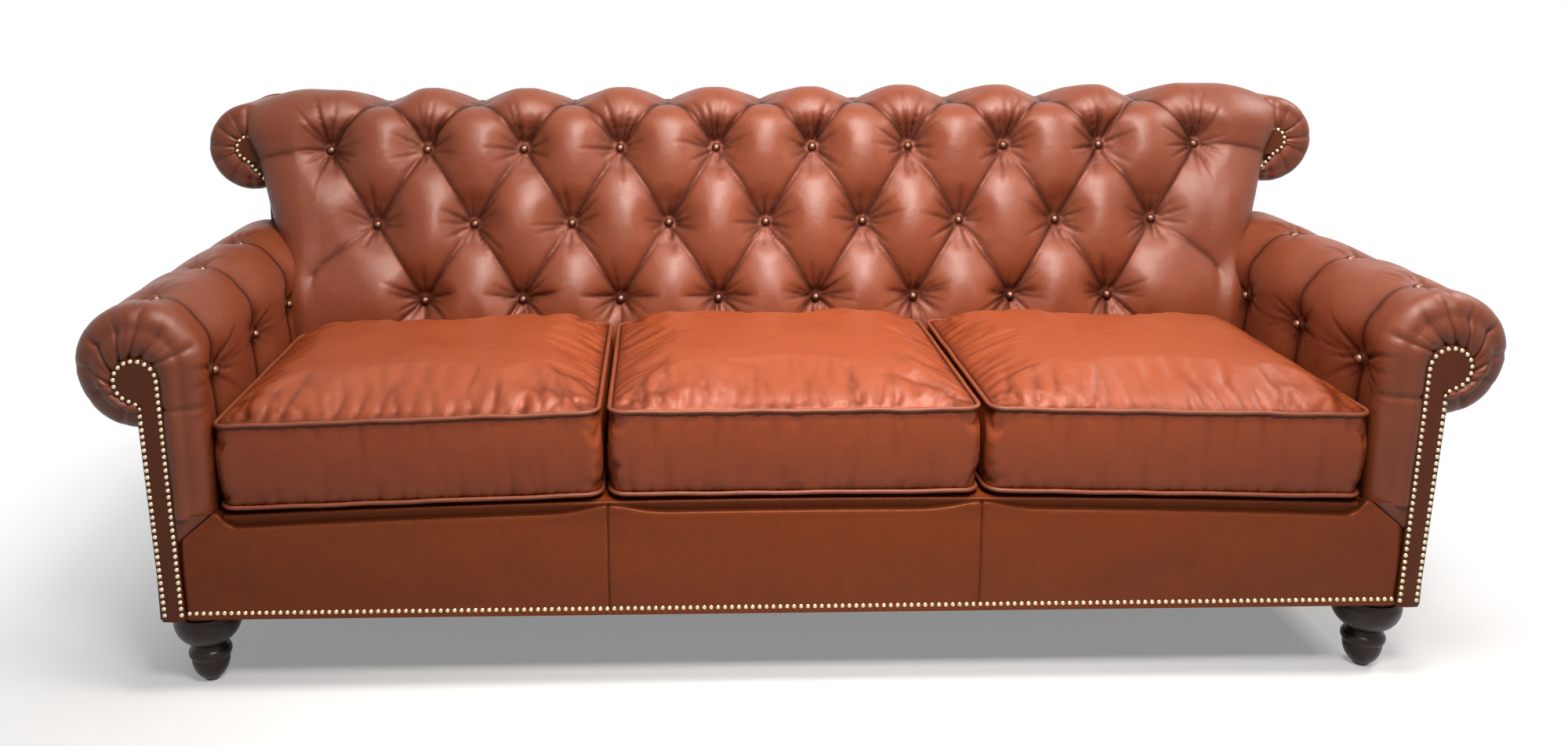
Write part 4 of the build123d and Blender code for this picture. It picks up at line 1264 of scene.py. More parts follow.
@dataclass
class RolledForm:
    """A padded roll with a gathered front facing: the arms and the back's scrolled ends share it."""

    x: float
    z: float
    radius: float
    low: float
    seam: float  # degrees, where the roll meets the outside panel
    keyhole: Keyhole
    front: float
    rear: float
    rim: float
    pleats: tuple[float, ...]
    pleat_depth: float
    dome: float
    capped: bool
    step: float = 4.2

    @property
    def leg(self) -> float:
        """Length of the straight inner face."""
        return self.z - self.low

    def spot(self, angle: float) -> float:
        """How far round the section a direction lies, from the foot of the inner face."""
        return self.leg + self.radius * (pi - radians(angle))

    def section(self) -> tuple[np.ndarray, np.ndarray, np.ndarray, np.ndarray]:
        """The roll's section.

        Returns:
            Distance round it, points (x, z), outward normals, and the matching points on the
            keyhole panel's edge.
        """
        length = self.spot(self.seam)
        round_ = np.linspace(0.0, length, int(length / self.step))
        angle = pi - np.clip(round_ - self.leg, 0.0, None) / self.radius
        normal = np.stack([np.cos(angle), np.sin(angle)], -1)
        place = np.array([self.x, self.z]) + self.radius * normal
        straight = round_ < self.leg
        inner_x = np.full(straight.sum(), self.x - self.radius)
        place[straight] = np.stack([inner_x, self.low + round_[straight]], -1)
        normal[straight] = (-1.0, 0.0)
        key = self.keyhole
        first = np.arctan2(self.z - key.z, -sqrt(max(key.head**2 - (self.z - key.z) ** 2, 1e-6)))
        last = radians(key.turn)
        share = np.clip((pi - angle) / (pi - last), 0.0, 1.0)
        turn = first + share * (last - first)
        edge = np.stack([key.x + key.head * np.cos(turn), key.z + key.head * np.sin(turn)], -1)
        tail = np.clip((last - angle) / max(last - radians(self.seam), 1e-6), 0.0, 1.0)
        edge = edge + tail[:, None] * (np.array(key.neck) - edge)
        inner, _ = key.edges(place[straight][:, 1])
        edge[straight] = np.stack([inner, place[straight][:, 1]], -1)
        return round_, place, normal, edge

    def surface(self) -> tuple[np.ndarray, np.ndarray, np.ndarray]:
        """The roll before it is pulled in.

        Returns:
            Points by section and path, distance round the section, and distance along the path
            from the front rim, at each point.
        """
        round_, place, normal, edge = self.section()
        tuck = edge - place
        tuck = edge + 4.0 * tuck / np.maximum(np.linalg.norm(tuck, axis=1, keepdims=True), 1e-6)
        shoulder = place - self.rim * normal
        rows, paths = [], []
        for share in np.linspace(0.0, 1.0, 15):
            flat = tuck + share * (shoulder - tuck)
            dome = self.dome * sin(pi * share)
            rows.append(set_back(flat, self.front - dome))
            paths.append(-self.rim - (1.0 - share) * np.linalg.norm(shoulder - tuck, axis=1))
        for turn in np.linspace(0.0, pi / 2, 9)[1:]:
            flat = shoulder + self.rim * sin(turn) * normal
            rows.append(set_back(flat, self.front + self.rim * (1.0 - cos(turn))))
            paths.append(np.full(len(flat), self.rim * (turn * 2 / pi - 1.0)))
        back = self.rear - (9.0 if self.capped else 0.0)
        start = self.front + self.rim
        for y in np.linspace(start, back, int((back - start) / self.step))[1:]:
            rows.append(set_back(place, y))
            paths.append(np.full(len(place), y - start))
        if self.capped:
            hub = np.stack([np.full(len(place), self.x), np.minimum(place[:, 1], self.z)], -1)
            for share, step in ((0.03, 6.0), (0.09, 9.0), (0.4, 10.0), (0.75, 10.5), (1.0, 10.5)):
                flat = place + share * (hub - place)
                rows.append(set_back(flat, back + step))
                paths.append(np.full(len(place), back - start + step))
        grid = np.array(rows)[..., [0, 2, 1]]
        return grid, np.broadcast_to(round_, grid.shape[:2]), np.array(paths)

    def gather(self, hide: HideField) -> None:
        """Fan pleats from the panel's head over the rim.

        Args:
            hide: The field that they are drawn in.
        """
        for i, angle in enumerate(self.pleats):
            at = self.spot(angle)
            rng = np.random.default_rng(40 + i)
            wide = rng.uniform(0.8, 1.2)
            at += rng.uniform(-7.0, 7.0)
            inner, rim = -self.rim - 75.0, rng.uniform(-1.15, -0.55) * self.rim
            deep = self.pleat_depth * rng.uniform(0.75, 1.15)
            hide.pleat((at, inner), (at, rim), (deep, 0.5 * deep), 4.6, 17.0 * wide)
            hide.pleat((at, rim), (at + rng.uniform(-9, 9), 0.0), (0.5 * deep, 0.0), 4.2, 14.0 * wide)
            gap = rng.uniform(10.0, 24.0)
            hide.crease((at + gap, -self.rim - 40.0), (at + gap + 3.0, rng.uniform(-30.0, -5.0)), 3.0, 3.4)

    def finish_skin(self, grid: np.ndarray, hide: HideField, swell: np.ndarray) -> Skin:
        """Pull the surface in by a field and make its skin.

        Args:
            grid: The surface's points.
            hide: The field of depths over it.
            swell: Slow unevenness that is added to the depth.

        Returns:
            The skin.
        """
        deep = hide.depth() + swell
        pulled = grid - normals(grid) * deep[..., None]
        skin = Skin()
        skin.grid(pulled, hide.shade(deep), flip=True)
        return skin


@dataclass
class RolledArm:
    """One rolled arm with channels, its gathered facing and its front panel."""

    side: Side
    channels: tuple[float, ...] = (-367.65, -153.65, 60.35)
    channel_depth: float = 19.0
    button_z: float = 525.0
    keyhole: Keyhole = field(default_factory=lambda: Keyhole(1037.0, 541.0, 39.0, 135.3, (1039.0, 502.0)))

    def form(self) -> RolledForm:
        """The arm's roll.

        Returns:
            The roll, with the arm's sizes.
        """
        return RolledForm(
            x=1037.0,
            z=558.0,
            radius=103.0,
            low=312.0,
            seam=-99.0,
            keyhole=self.keyhole,
            front=PLAN.facing_y,
            rear=256.0,
            rim=34.0,
            pleats=(160.0, 127.0, 97.0, 66.0, 34.0, 2.0, -33.0, -68.0),
            pleat_depth=6.5,
            dome=8.0,
            capped=True,
        )

    def pull(self, form: RolledForm, hide: HideField) -> None:
        """Draw channels over the arm, with a button inside and one on top of each.

        Args:
            form: The arm's roll.
            hide: The field that they are drawn in.
        """
        start = PLAN.facing_y + form.rim
        low, high = self.button_z - form.low, form.spot(84.0)
        for i, y in enumerate(self.channels):
            path = y - start
            deep, turn = self.channel_depth, form.spot(140.0)
            hide.pleat((-20.0, path), (low, path), (deep, deep), 9.0, 104.0)
            hide.pleat((low, path), (turn, path), (deep, 0.75 * deep), 9.0, 104.0)
            hide.pleat((turn, path), (high, path), (0.75 * deep, 0.32 * deep), 7.0, 96.0)
            hide.pleat((high, path), (form.spot(66.0), path), (0.32 * deep, 0.0), 6.0, 60.0)
            for at, seed in ((low, 900 + i), (high, 950 + i)):
                hide.pit((at, path), 3.0 if at == low else 7.0, 24.0)
                hide.seat((at, path), 15.0)
                pull = 1.0 if at == low else 0.6
                hide.pucker((at, path), 12, (30.0, 74.0), 7.0 * pull, seed)
                hide.pucker((at, path), 5, (60.0, 118.0), 11.0 * pull, seed + 30, (0.3 * pi, 0.7 * pi))
                hide.pucker((at, path), 5, (60.0, 118.0), 11.0 * pull, seed + 60, (-0.7 * pi, -0.3 * pi))

    def gusset(self, skin: Skin) -> None:
        """Add the facing's lower corner, down to the mitre with the front border.

        Args:
            skin: The arm's skin.
        """
        low, high = 272.0, 316.0
        rise, run = 46.0, 54.0  # the mitre's slope
        z = np.linspace(low, high, 12)
        mitre = self.keyhole.stem_in - (z - low) / rise * run
        inner, _ = self.keyhole.edges(z)
        share = np.linspace(0.0, 1.0, 14)
        x = mitre[:, None] + (inner + 4.0 - mitre)[:, None] * share
        gap = x - mitre[:, None]
        points = np.empty(x.shape + (3,))
        points[..., 0] = x
        points[..., 1] = PLAN.facing_y + 5.0 * np.exp(-gap / 4.0) - 1.0
        points[..., 2] = z[:, None]
        # Painted shade along the mitre
        skin.grid(points, 0.8 * np.exp(-gap / 4.0))

    def build(self) -> None:
        """Make the arm and its front panel."""
        form = self.form()
        grid, round_, path = form.surface()
        hide = HideField(round_, path, limit=26.0)
        self.pull(form, hide)
        form.gather(hide)
        # The seam across the facing, below its gathers
        hide.pleat((186.0, -160.0), (180.0, -10.0), (3.6, 3.6), 3.0, 9.0)
        swell = 0.8 * drift(round_, path, 90.0, 11)
        skin = form.finish_skin(grid, hide, swell)
        self.gusset(skin)
        tag = self.side.tag
        arm = fit_out(
            skin.piece(f"rolled_arm_{tag}", self.side),
            "cover_leather",
            CHASSIS,
            f"arm_cover_{tag}",
            f"arm_foam_{tag}",
        )
        self.keyhole.build(
            f"arm_facing_panel_{tag}",
            self.side,
            PLAN.panel_y,
            PLAN.facing_y + 4.0,
            f"arm_front_panel_{tag}",
        )


@dataclass
class BackScroll:
    """One scrolled end of the back with its gathered facing and panel."""

    side: Side
    keyhole: Keyhole = field(default_factory=lambda: Keyhole(1065.0, 812.0, 30.0, 661.3, (1026.0, 728.6)))

    def build(self) -> None:
        """Make the scroll and its panel."""
        form = RolledForm(
            x=1065.0,
            z=812.0,
            radius=89.0,
            low=662.0,
            seam=-118.0,
            keyhole=self.keyhole,
            front=PLAN.scroll_facing_y,
            rear=476.0,
            rim=24.0,
            pleats=(150.0, 118.0, 88.0, 60.0, 33.0, 6.0, -24.0, -56.0, -88.0),
            pleat_depth=5.0,
            dome=5.0,
            capped=False,
        )
        grid, round_, path = form.surface()
        hide = HideField(round_, path, limit=14.0)
        form.gather(hide)
        skin = form.finish_skin(grid, hide, 0.7 * drift(round_, path, 80.0, 21))
        tag = self.side.tag
        scroll = fit_out(
            skin.piece(f"scrolled_end_{tag}", self.side), "cover_leather", CHASSIS, f"back_scroll_{tag}"
        )
        self.keyhole.build(
            f"scroll_facing_panel_{tag}",
            self.side,
            PLAN.scroll_panel_y,
            PLAN.scroll_facing_y + 4.0,
            f"back_scroll_panel_{tag}",
        )


@dataclass
class OutsidePanels:
    """The flat outside covers: two sides and the back, with a welt round the back."""

    arm_front: float = -468.0
    arm_top: float = 457.0
    scroll_top: float = 730.0
    step_y: float = 249.0
    back_top: float = 890.0
    lobe_z: float = 722.0  # the straight sides of the back end here
    scroll_x: float = 1065.0
    scroll_z: float = 812.0
    scroll: float = 89.0
    edge: float = 2.6
    dip_pitch: float = 198.0
    dip_reach: float = 96.0
    dip: float = 24.0
    climb_x: float = 985.0  # from here the top edge climbs to the scroll

    def crest(self, x: np.ndarray) -> np.ndarray:
        """The dips in the back's top edge, where pleats run over it.

        Args:
            x: Distances from the middle.

        Returns:
            How far the edge dips at each.
        """
        places = (np.arange(9) - 4) * self.dip_pitch
        away = np.clip(np.abs(x[..., None] - places).min(-1) / self.dip_reach, 0.0, 1.0)
        return self.dip * (1.0 - pad_rise(away))

    def side(self, side: Side) -> None:
        """Make one outside arm cover, which turns in at its front edges.

        Args:
            side: The half it belongs to.
        """
        skin = Skin()
        lower = (self.arm_front, PLAN.base_z, self.arm_top)
        upper = (self.step_y, self.arm_top, self.scroll_top)
        for front, low, high in (lower, upper):
            y = np.concatenate([[front, front], np.linspace(front, PLAN.rear_in_y + 3.0, 80)])
            z = np.linspace(low, high, 46)
            yy, zz = np.meshgrid(y, z)
            gap = np.minimum(yy - front, zz - PLAN.base_z)
            sunk = self.edge * np.exp(-gap / 7.0) - 0.5 * drift(yy, zz, 210.0, 31)
            x = PLAN.arm_out - np.clip(sunk, 0.0, None)
            x[:, 0] = PLAN.arm_out - 14.0
            x[:, 1] = PLAN.arm_out - 5.0
            # Painted shade along the turned-in front and bottom edges
            skin.grid(np.stack([x, yy, zz], -1), 0.5 * np.exp(-gap / 6.0))
        tag = side.tag
        fit_out(skin.piece(f"outside_arm_{tag}", side), "panel_leather", CHASSIS, f"arm_side_panel_{tag}")

    def half_width(self, z: np.ndarray) -> np.ndarray:
        """The outside back's outline.

        Args:
            z: Heights.

        Returns:
            Half its width at each height.
        """
        lobe = self.scroll_x + np.sqrt(np.maximum(self.scroll**2 - np.square(z - self.scroll_z), 0.0))
        foot = self.scroll_z - sqrt(self.scroll**2 - (self.scroll_x - PLAN.arm_out) ** 2)
        return np.where(z < foot, PLAN.arm_out, lobe)

    def back(self) -> None:
        """Make the outside back and the welt round it."""
        top = self.scroll_z + self.scroll
        turn = np.linspace(-0.35 * pi, pi / 2, 30)
        straight = np.linspace(PLAN.base_z, self.lobe_z, 62)
        z = np.concatenate([straight, self.scroll_z + self.scroll * np.sin(turn)])
        half = self.half_width(np.minimum(z, top))
        share = np.concatenate([[-1.0, -1.0], np.linspace(-1.0, 1.0, 130), [1.0, 1.0]])
        x = half[:, None] * share
        between = np.abs(x) < self.scroll_x
        climb = (top - self.back_top) * ease(np.abs(x), self.climb_x, self.scroll_x)
        ceiling = np.where(between, self.back_top - self.crest(x), top) + climb * between
        zz = np.minimum(np.broadcast_to(z[:, None], x.shape), ceiling)
        gap = np.minimum(half[:, None] - np.abs(x), np.minimum(zz - PLAN.base_z, ceiling - zz))
        sunk = 3.4 * np.exp(-gap / 6.0) - 0.5 * drift(x, zz, 240.0, 41)
        y = PLAN.rear_y - np.clip(sunk, 0.0, None)
        y[:, (0, -1)] = PLAN.rear_in_y - 4.0
        skin = Skin()
        # Painted shade along the edges, by the welt and the turn-in
        skin.grid(np.stack([x, y, zz], -1), 0.5 * np.exp(-gap / 5.0), flip=True)
        fit_out(skin.piece("outside_back"), "panel_leather", CHASSIS, "outside_back_panel")
        rise = np.linspace(PLAN.base_z + 6.0, self.lobe_z + 4.0, 90)
        lobe = np.linspace(-0.38 * pi, pi / 2, 40)
        upright = np.stack([np.full(len(rise), PLAN.arm_out - 1.0), rise], -1)
        circle = np.stack([np.cos(lobe), np.sin(lobe)], -1)
        corner = np.array([self.scroll_x, self.scroll_z]) + (self.scroll - 1.0) * circle
        over = np.linspace(1058.0, 2.0, 300)
        edge = self.back_top - self.crest(over)
        edge = edge + (top - self.back_top) * ease(over, self.climb_x, self.scroll_x)
        right = np.concatenate([upright, corner, np.stack([over, edge - 0.5], -1)])
        line = np.concatenate([right, right[::-1] * (-1, 1)])
        path = np.stack([line[:, 0], np.full(len(line), PLAN.rear_in_y + 2.2), line[:, 1]], -1)
        welt = Skin()
        welt.tube(path, 3.6, closed=False)
        fit_out(welt.piece("outside_back_welt"), "piping_leather", CHASSIS)


@dataclass
class FrontBorder:
    """The leather below the cushions, in three panels, with the rolled band under the nails."""

    low: float = 136.0
    gap: float = 8.0
    mitre_x: float = 987.7
    mitre_z: float = 271.7
    ear_z: float = 316.0
    nail_z: float = 147.0
    swell_z: float = 158.0
    band_z: float = 139.4
    dip: float = 13.0
    peak: float = 52.0

    def top(self, x: np.ndarray) -> np.ndarray:
        """The top edge, which dips between the seams and falls along the mitres at the arms.

        Args:
            x: Distances from the middle.

        Returns:
            Its height at each.
        """
        crown = PLAN.deck(np.minimum(np.abs(x), PLAN.arm_in)) - self.gap
        crown = crown - self.dip * (1.0 - np.exp(-np.square((np.abs(x) - PLAN.seam_x) / self.peak)))
        ear = crown + (self.ear_z - crown) * ease(np.abs(x), PLAN.arm_in - 34.0, PLAN.arm_in)
        share = np.clip((np.abs(x) - PLAN.arm_in) / (self.mitre_x - PLAN.arm_in), 0.0, 1.0)
        return ear + share * (self.mitre_z - ear)

    def panel(self, name: str, start: float, end: float, seed: int, node: str) -> None:
        """Make one panel.

        Args:
            name: The piece's name.
            start: X of its left end.
            end: X of its right end.
            seed: Chooses its unevenness.
            node: The node that it replaces.
        """
        x = np.concatenate([[start], np.linspace(start, end, int((end - start) / 6.0)), [end]])
        share = np.linspace(0.0, 1.0, 34)
        high = self.top(x)
        z = self.low + share[:, None] * (high - self.low)
        seam = np.minimum(x - start, end - x)
        hide = HideField(np.broadcast_to(x, z.shape).copy(), z)
        rng = np.random.default_rng(seed)
        for at in np.linspace(start + 15.0, end - 15.0, 13) + rng.uniform(-14, 14, 13):
            foot = (at + rng.uniform(-9, 9), self.low + rng.uniform(50, 110))
            hide.crease((at, self.low + 150.0), foot, 1.0, 7.0)
        body = np.sin(pi * np.clip((z - self.swell_z) / (high - self.swell_z), 0.0, 1.0))
        swell = (2.0 + 1.0 * drift(x[None, :], z, 170.0, seed)) * body
        sunk = hide.folds - swell + 1.1 * np.exp(-seam / 2.2)[None, :]
        sunk = sunk + 0.8 * np.exp(-np.square((z - self.nail_z) / 4.0))
        y = PLAN.border_y + sunk
        y[:, (0, -1)] = PLAN.border_y + 5.0
        points = np.stack([np.broadcast_to(x, z.shape), y, z], -1)
        over = []
        for turn in np.linspace(0.0, pi / 2, 6)[1:]:
            row = points[-1].copy()
            row[:, 1] += 11.0 * (1.0 - cos(turn))
            row[:, 2] += 4.0 * sin(turn)
            over.append(row)
        tuck = over[-1].copy()
        tuck[:, 1] += 8.0
        points = np.concatenate([points, np.array(over), tuck[None]])
        # Painted shade: darker by the seams, towards the top under the cushions, and on the turned-over top
        # edge
        fold = np.clip(0.12 * np.exp(-seam / 2.0)[None, :] + 0.25 * ease(z, 285.0, 330.0), 0.0, 1.0)
        fold = np.concatenate([fold, np.full((6, fold.shape[1]), 0.8)])
        skin = Skin()
        skin.grid(points, fold)
        fit_out(skin.piece(name), "border_leather", CHASSIS, node)

    def stitches(self) -> None:
        """Close stitches beside the two upright seams."""
        skin = Skin()
        for seam in (-PLAN.seam_x, PLAN.seam_x):
            for z in np.arange(160.0, self.top(np.array([seam]))[0] - 12.0, 7.0):
                spot = np.linspace(0.0, 1.0, 7)
                y = PLAN.border_y - 0.1 - 0.9 * np.sin(pi * spot)
                for x in (seam - 5.0, seam + 5.0):
                    path = np.stack([np.full(len(spot), x), y, z + 4.6 * spot], -1)
                    skin.tube(path, 0.45, closed=False, sides=6)
        fit_out(skin.piece("border_stitches"), "piping_leather", CHASSIS)

    def band(self) -> None:
        """Make the slim rolled band round the bottom edge."""
        half, front, rear = 1029.0, -467.5, 474.0
        corners = [(-half, front), (half, front), (half, rear), (-half, rear)]
        points = []
        for (x0, y0), (x1, y1) in zip(corners, corners[1:] + corners[:1]):
            run = max(abs(x1 - x0), abs(y1 - y0))
            share = np.linspace(8.0 / run, 1.0 - 8.0 / run, int(run / 14.0))
            points += [(x0 + (x1 - x0) * s, y0 + (y1 - y0) * s, self.band_z) for s in share]
        skin = Skin()
        skin.tube(np.array(points), 4.4, closed=True)
        fit_out(skin.piece("base_band"), "border_leather", CHASSIS)

    def build(self) -> None:
        """Make the three panels, the stitches and the band."""
        self.panel("front_border_l", -self.mitre_x, -PLAN.seam_x, 61, "front_border_left")
        self.panel("front_border_c", -PLAN.seam_x, PLAN.seam_x, 62, "front_border_centre")
        self.panel("front_border_r", PLAN.seam_x, self.mitre_x, 63, "front_border_right")
        self.stitches()
        self.band()


@dataclass
class Platform:
    """The deck under the cushions, with a leather lip in front, and the dust cover below."""

    lip: float = 92.0
    low: float = 279.0

    def strip(self, name: str, front: float, rear: float, slot: str, skirt: bool, *nodes: str) -> None:
        """Make one strip of the deck.

        Args:
            name: The piece's name.
            front: Y of its front edge.
            rear: Y of its rear edge.
            slot: Its material slot.
            skirt: Whether its front turns down.
            nodes: The nodes that it replaces.
        """
        half = PLAN.arm_in - 0.6
        x = np.concatenate([[-half], np.linspace(-half, half, 150), [half]])
        y = np.concatenate([[front, front], np.linspace(front, rear, 36 if skirt else 90)])
        xx, yy = np.meshgrid(x, y)
        gap = np.minimum(yy - front, rear - yy)
        z = PLAN.deck(xx) - 0.6 - 2.2 * np.exp(-gap / 5.0)
        z[:, (0, -1)] = self.low
        z[0] = self.low if skirt else z[1] - 4.0
        z[1] = PLAN.deck(xx[1]) - (9.0 if skirt else 4.0)
        skin = Skin()
        # Painted shade on the lip's front and along its edges
        skin.grid(np.stack([xx, yy, z], -1), 0.7 * np.exp(-gap / 6.0))
        made = fit_out(skin.piece(name), slot, CHASSIS, *nodes)

    def dust_cover(self) -> None:
        """Make the cloth under the frame, which hangs a little between its edges."""
        half, front, rear = 1028.0, -460.0, 473.0
        xx, yy = np.meshgrid(np.linspace(-half, half, 100), np.linspace(front, rear, 60))
        middle = (front + rear) / 2
        sag = np.cos(pi * xx / (2 * half)) * np.cos(pi * (yy - middle) / (rear - front))
        z = PLAN.base_z + 1.4 - 4.0 * sag + 0.4 * drift(xx, yy, 160.0, 71)
        skin = Skin()
        skin.grid(np.stack([xx, yy, z], -1), flip=True)
        made = fit_out(skin.piece("dust_cloth"), "dust_cloth", CHASSIS, "dust_cover")

    def build(self) -> None:
        """Make the lip, the deck cloth and the dust cover."""
        low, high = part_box("deck_pad")
        front, rear = low.y / MM, high.y / MM
        self.strip("deck_lip", front, front + self.lip, "border_leather", True)
        self.strip("deck_cloth", front + self.lip, rear, "deck_cloth", False, "deck_pad")
        self.dust_cover()


@dataclass
class SeatCushion:
    """One loose cushion: a crowned cover over its core, with a welt round both faces."""

    seat: Seat
    pitch: float = 618.0
    centre_width: float = 588.0
    end_width: float = 607.4
    length: float = 525.9
    middle_y: float = -193.2
    lower: float = 8.0
    boxing: float = 138.0
    crown: float = 44.0
    puff: float = 5.0
    corner: float = 22.0
    welt: float = 3.8
    least_swell: tuple[float, ...] = (-2.4, -2.4, -3.0)
    most_swell: tuple[float, ...] = (2.4, 2.4, 13.0)
    across: int = 112
    deep: int = 102
    tall: int = 22

    @property
    def body(self) -> str:
        """The cushion's own body."""
        return f"cushion_{self.seat.value}"

    @property
    def width(self) -> float:
        """Width of the cover inside its welts."""
        return self.centre_width if self.seat is Seat.CENTRE else self.end_width

    def stand(self) -> np.ndarray:
        """The cushion's place on the crowned deck.

        Returns:
            A 4 by 4 matrix, in millimetres.
        """
        x = {Seat.LEFT: -self.pitch, Seat.CENTRE: 0.0, Seat.RIGHT: self.pitch}[self.seat]
        tilt = np.arcsin(x / PLAN.deck_arc)
        made = np.eye(4)
        made[:3, 0] = (np.cos(tilt), 0.0, -np.sin(tilt))
        made[:3, 2] = (np.sin(tilt), 0.0, np.cos(tilt))
        made[:3, 3] = (x, self.middle_y, PLAN.deck(np.array(x)) + 0.4)
        return made

    def rounded(self, u: np.ndarray, v: np.ndarray, inset: float) -> np.ndarray:
        """Map a square to the cushion's plan, with rounded corners.

        Args:
            u: First coordinate, from -1 to 1.
            v: Second coordinate.
            inset: How far inside the seam line.

        Returns:
            Points (x, y).
        """
        half = np.array([self.width / 2 - inset, self.length / 2 - inset])
        flat = np.stack([u, v], -1) * half
        over = np.clip(np.abs(flat) - (half - self.corner), 0.0, None)
        reach = np.linalg.norm(over, axis=-1)
        scale = np.where(reach > 1e-6, over.max(-1) / np.maximum(reach, 1e-6), 1.0)
        return np.sign(flat) * (np.minimum(np.abs(flat), half - self.corner) + over * scale[..., None])

    def edge_ring(self) -> tuple[np.ndarray, np.ndarray]:
        """The border of the cover's grid, in order.

        Returns:
            The row and the column of each point on it.
        """
        a, d = self.across, self.deep
        column = np.concatenate([np.arange(a), np.full(d, a), np.arange(a, 0, -1), np.zeros(d, int)])
        row = np.concatenate([np.zeros(a, int), np.arange(d), np.full(a, d), np.arange(d, 0, -1)])
        return row, column

    def cover(self) -> tuple[Skin, np.ndarray]:
        """The cover before it is filled.

        Returns:
            The skin in the cushion's own place, and which of its points are held.
        """
        u, v = np.meshgrid(np.linspace(-1, 1, self.across + 1), np.linspace(-1, 1, self.deep + 1))
        plan = self.rounded(u, v, 0.0)
        gap = np.array([self.width / 2, self.length / 2]) - np.abs(plan)
        rise = (1.0 - np.exp(-gap[..., 0] / 44.0)) * (1.0 - np.exp(-gap[..., 1] / 44.0))
        top_z = self.lower + self.boxing
        skin = Skin()
        top = skin.grid(np.concatenate([plan, (top_z + self.crown * rise)[..., None]], -1))
        under = self.lower * (1.0 - ease(np.minimum(gap[..., 0], gap[..., 1]), 0.0, 18.0))
        bottom = skin.grid(np.concatenate([plan, under[..., None]], -1), flip=True)
        row, column = self.edge_ring()
        levels = []
        for share in np.linspace(0.0, 1.0, self.tall + 1)[1:-1]:
            plump = self.rounded(u, v, -self.puff * sin(pi * share) ** 0.7)[row, column]
            level = np.full((len(row), 1), self.lower + share * self.boxing)
            levels.append(np.concatenate([plump, level], -1))
        wall = skin.grid(np.array(levels), wrap=True)
        for upper, lower in ((wall[0], bottom[row, column]), (top[row, column], wall[-1])):
            after, below = np.roll(upper, -1), np.roll(lower, -1)
            skin.faces.append(np.stack([lower, below, after, upper], -1))
        held = np.zeros(skin.count, bool)
        held[top[row, column]] = True
        held[bottom.ravel()] = True
        return skin, held

    def fill(self, piece: bpy.types.Object, held: np.ndarray) -> None:
        """Swell the cover with cloth simulation and keep it inside its room.

        Args:
            piece: The cover, in its own place.
            held: The points that the seams and the deck hold.
        """
        group = piece.vertex_groups.new(name="held")
        group.add(np.flatnonzero(held).tolist(), 1.0, "REPLACE")
        cloth = piece.modifiers.new("fill", "CLOTH")
        cloth.settings.quality = 6
        cloth.settings.use_pressure = True
        cloth.settings.uniform_pressure_force = 4.0
        cloth.settings.shrink_min = -0.035
        cloth.settings.bending_stiffness = 0.35
        cloth.settings.vertex_group_mass = "held"
        cloth.settings.effector_weights.gravity = 0.0
        cloth.collision_settings.use_collision = False
        scene = bpy.context.scene
        for number in range(1, 21):
            scene.frame_set(number)
        swollen = piece.evaluated_get(bpy.context.evaluated_depsgraph_get())
        count = len(piece.data.vertices)
        rest, moved = np.zeros(3 * count, np.float32), np.zeros(3 * count, np.float32)
        piece.data.vertices.foreach_get("co", rest)
        swollen.data.vertices.foreach_get("co", moved)
        step = (moved - rest).reshape(-1, 3) / MM
        step = np.clip(step, self.least_swell, self.most_swell)
        piece.modifiers.remove(cloth)
        piece.vertex_groups.remove(group)
        scene.frame_set(1)
        piece.data.vertices.foreach_set("co", (rest.reshape(-1, 3) + step * MM).astype(np.float32).ravel())
        piece.data.update()

    def wrinkle(self, piece: bpy.types.Object) -> None:
        """Draw small wrinkles in from the seams, over the crown and on the boxing, and paint shade along the
        welts and in the wrinkles.

        Args:
            piece: The filled cover, in its own place.
        """
        count = len(piece.data.vertices)
        co, out = np.zeros(3 * count, np.float32), np.zeros(3 * count, np.float32)
        piece.data.vertices.foreach_get("co", co)
        piece.data.vertices.foreach_get("normal", out)
        points, out = co.reshape(-1, 3) / MM, out.reshape(-1, 3)
        top_z = self.lower + self.boxing
        rng = np.random.default_rng({Seat.LEFT: 3, Seat.CENTRE: 4, Seat.RIGHT: 5}[self.seat])
        half = (self.width / 2, self.length / 2)
        crown = HideField(points[:, 0], points[:, 1])
        for axis, way in ((1, -1), (1, 1), (0, -1), (0, 1)):
            other = half[1 - axis]
            for at in np.arange(-other + 16.0, other - 10.0, 30.0):
                start, end = np.zeros(2), np.zeros(2)
                near_corner = 1.0 + 0.8 * (abs(at) / other) ** 4
                run = rng.uniform(34.0, 105.0) * near_corner
                start[1 - axis] = at + rng.uniform(-7, 7)
                start[axis] = way * (half[axis] - 1.0)
                end[1 - axis] = start[1 - axis] + rng.uniform(-0.3, 0.3) * run - 0.25 * run * at / other
                end[axis] = way * (half[axis] - run)
                crown.crease(start, end, rng.uniform(2.5, 8.0) * near_corner**0.5, rng.uniform(6.0, 11.0))
        for _ in range(16):
            start = rng.uniform(-0.75, 0.75, 2) * half
            turn, run = rng.uniform(0, pi), rng.uniform(40.0, 120.0)
            crown.crease(start, start + run * np.array([cos(turn), sin(turn)]), rng.uniform(0.6, 1.8), 8.0)
        above = ease(points[:, 2], top_z + 0.5, top_z + 7.0)
        lumps = 2.2 * drift(points[:, 0], points[:, 1], 190.0, int(rng.integers(1000))) * above
        around = np.where(
            np.abs(points[:, 0]) / half[0] > np.abs(points[:, 1]) / half[1],
            2000.0 * np.sign(points[:, 0]) + points[:, 1],
            6000.0 + 2000.0 * np.sign(points[:, 1]) + points[:, 0],
        )
        wall = HideField(around, points[:, 2])
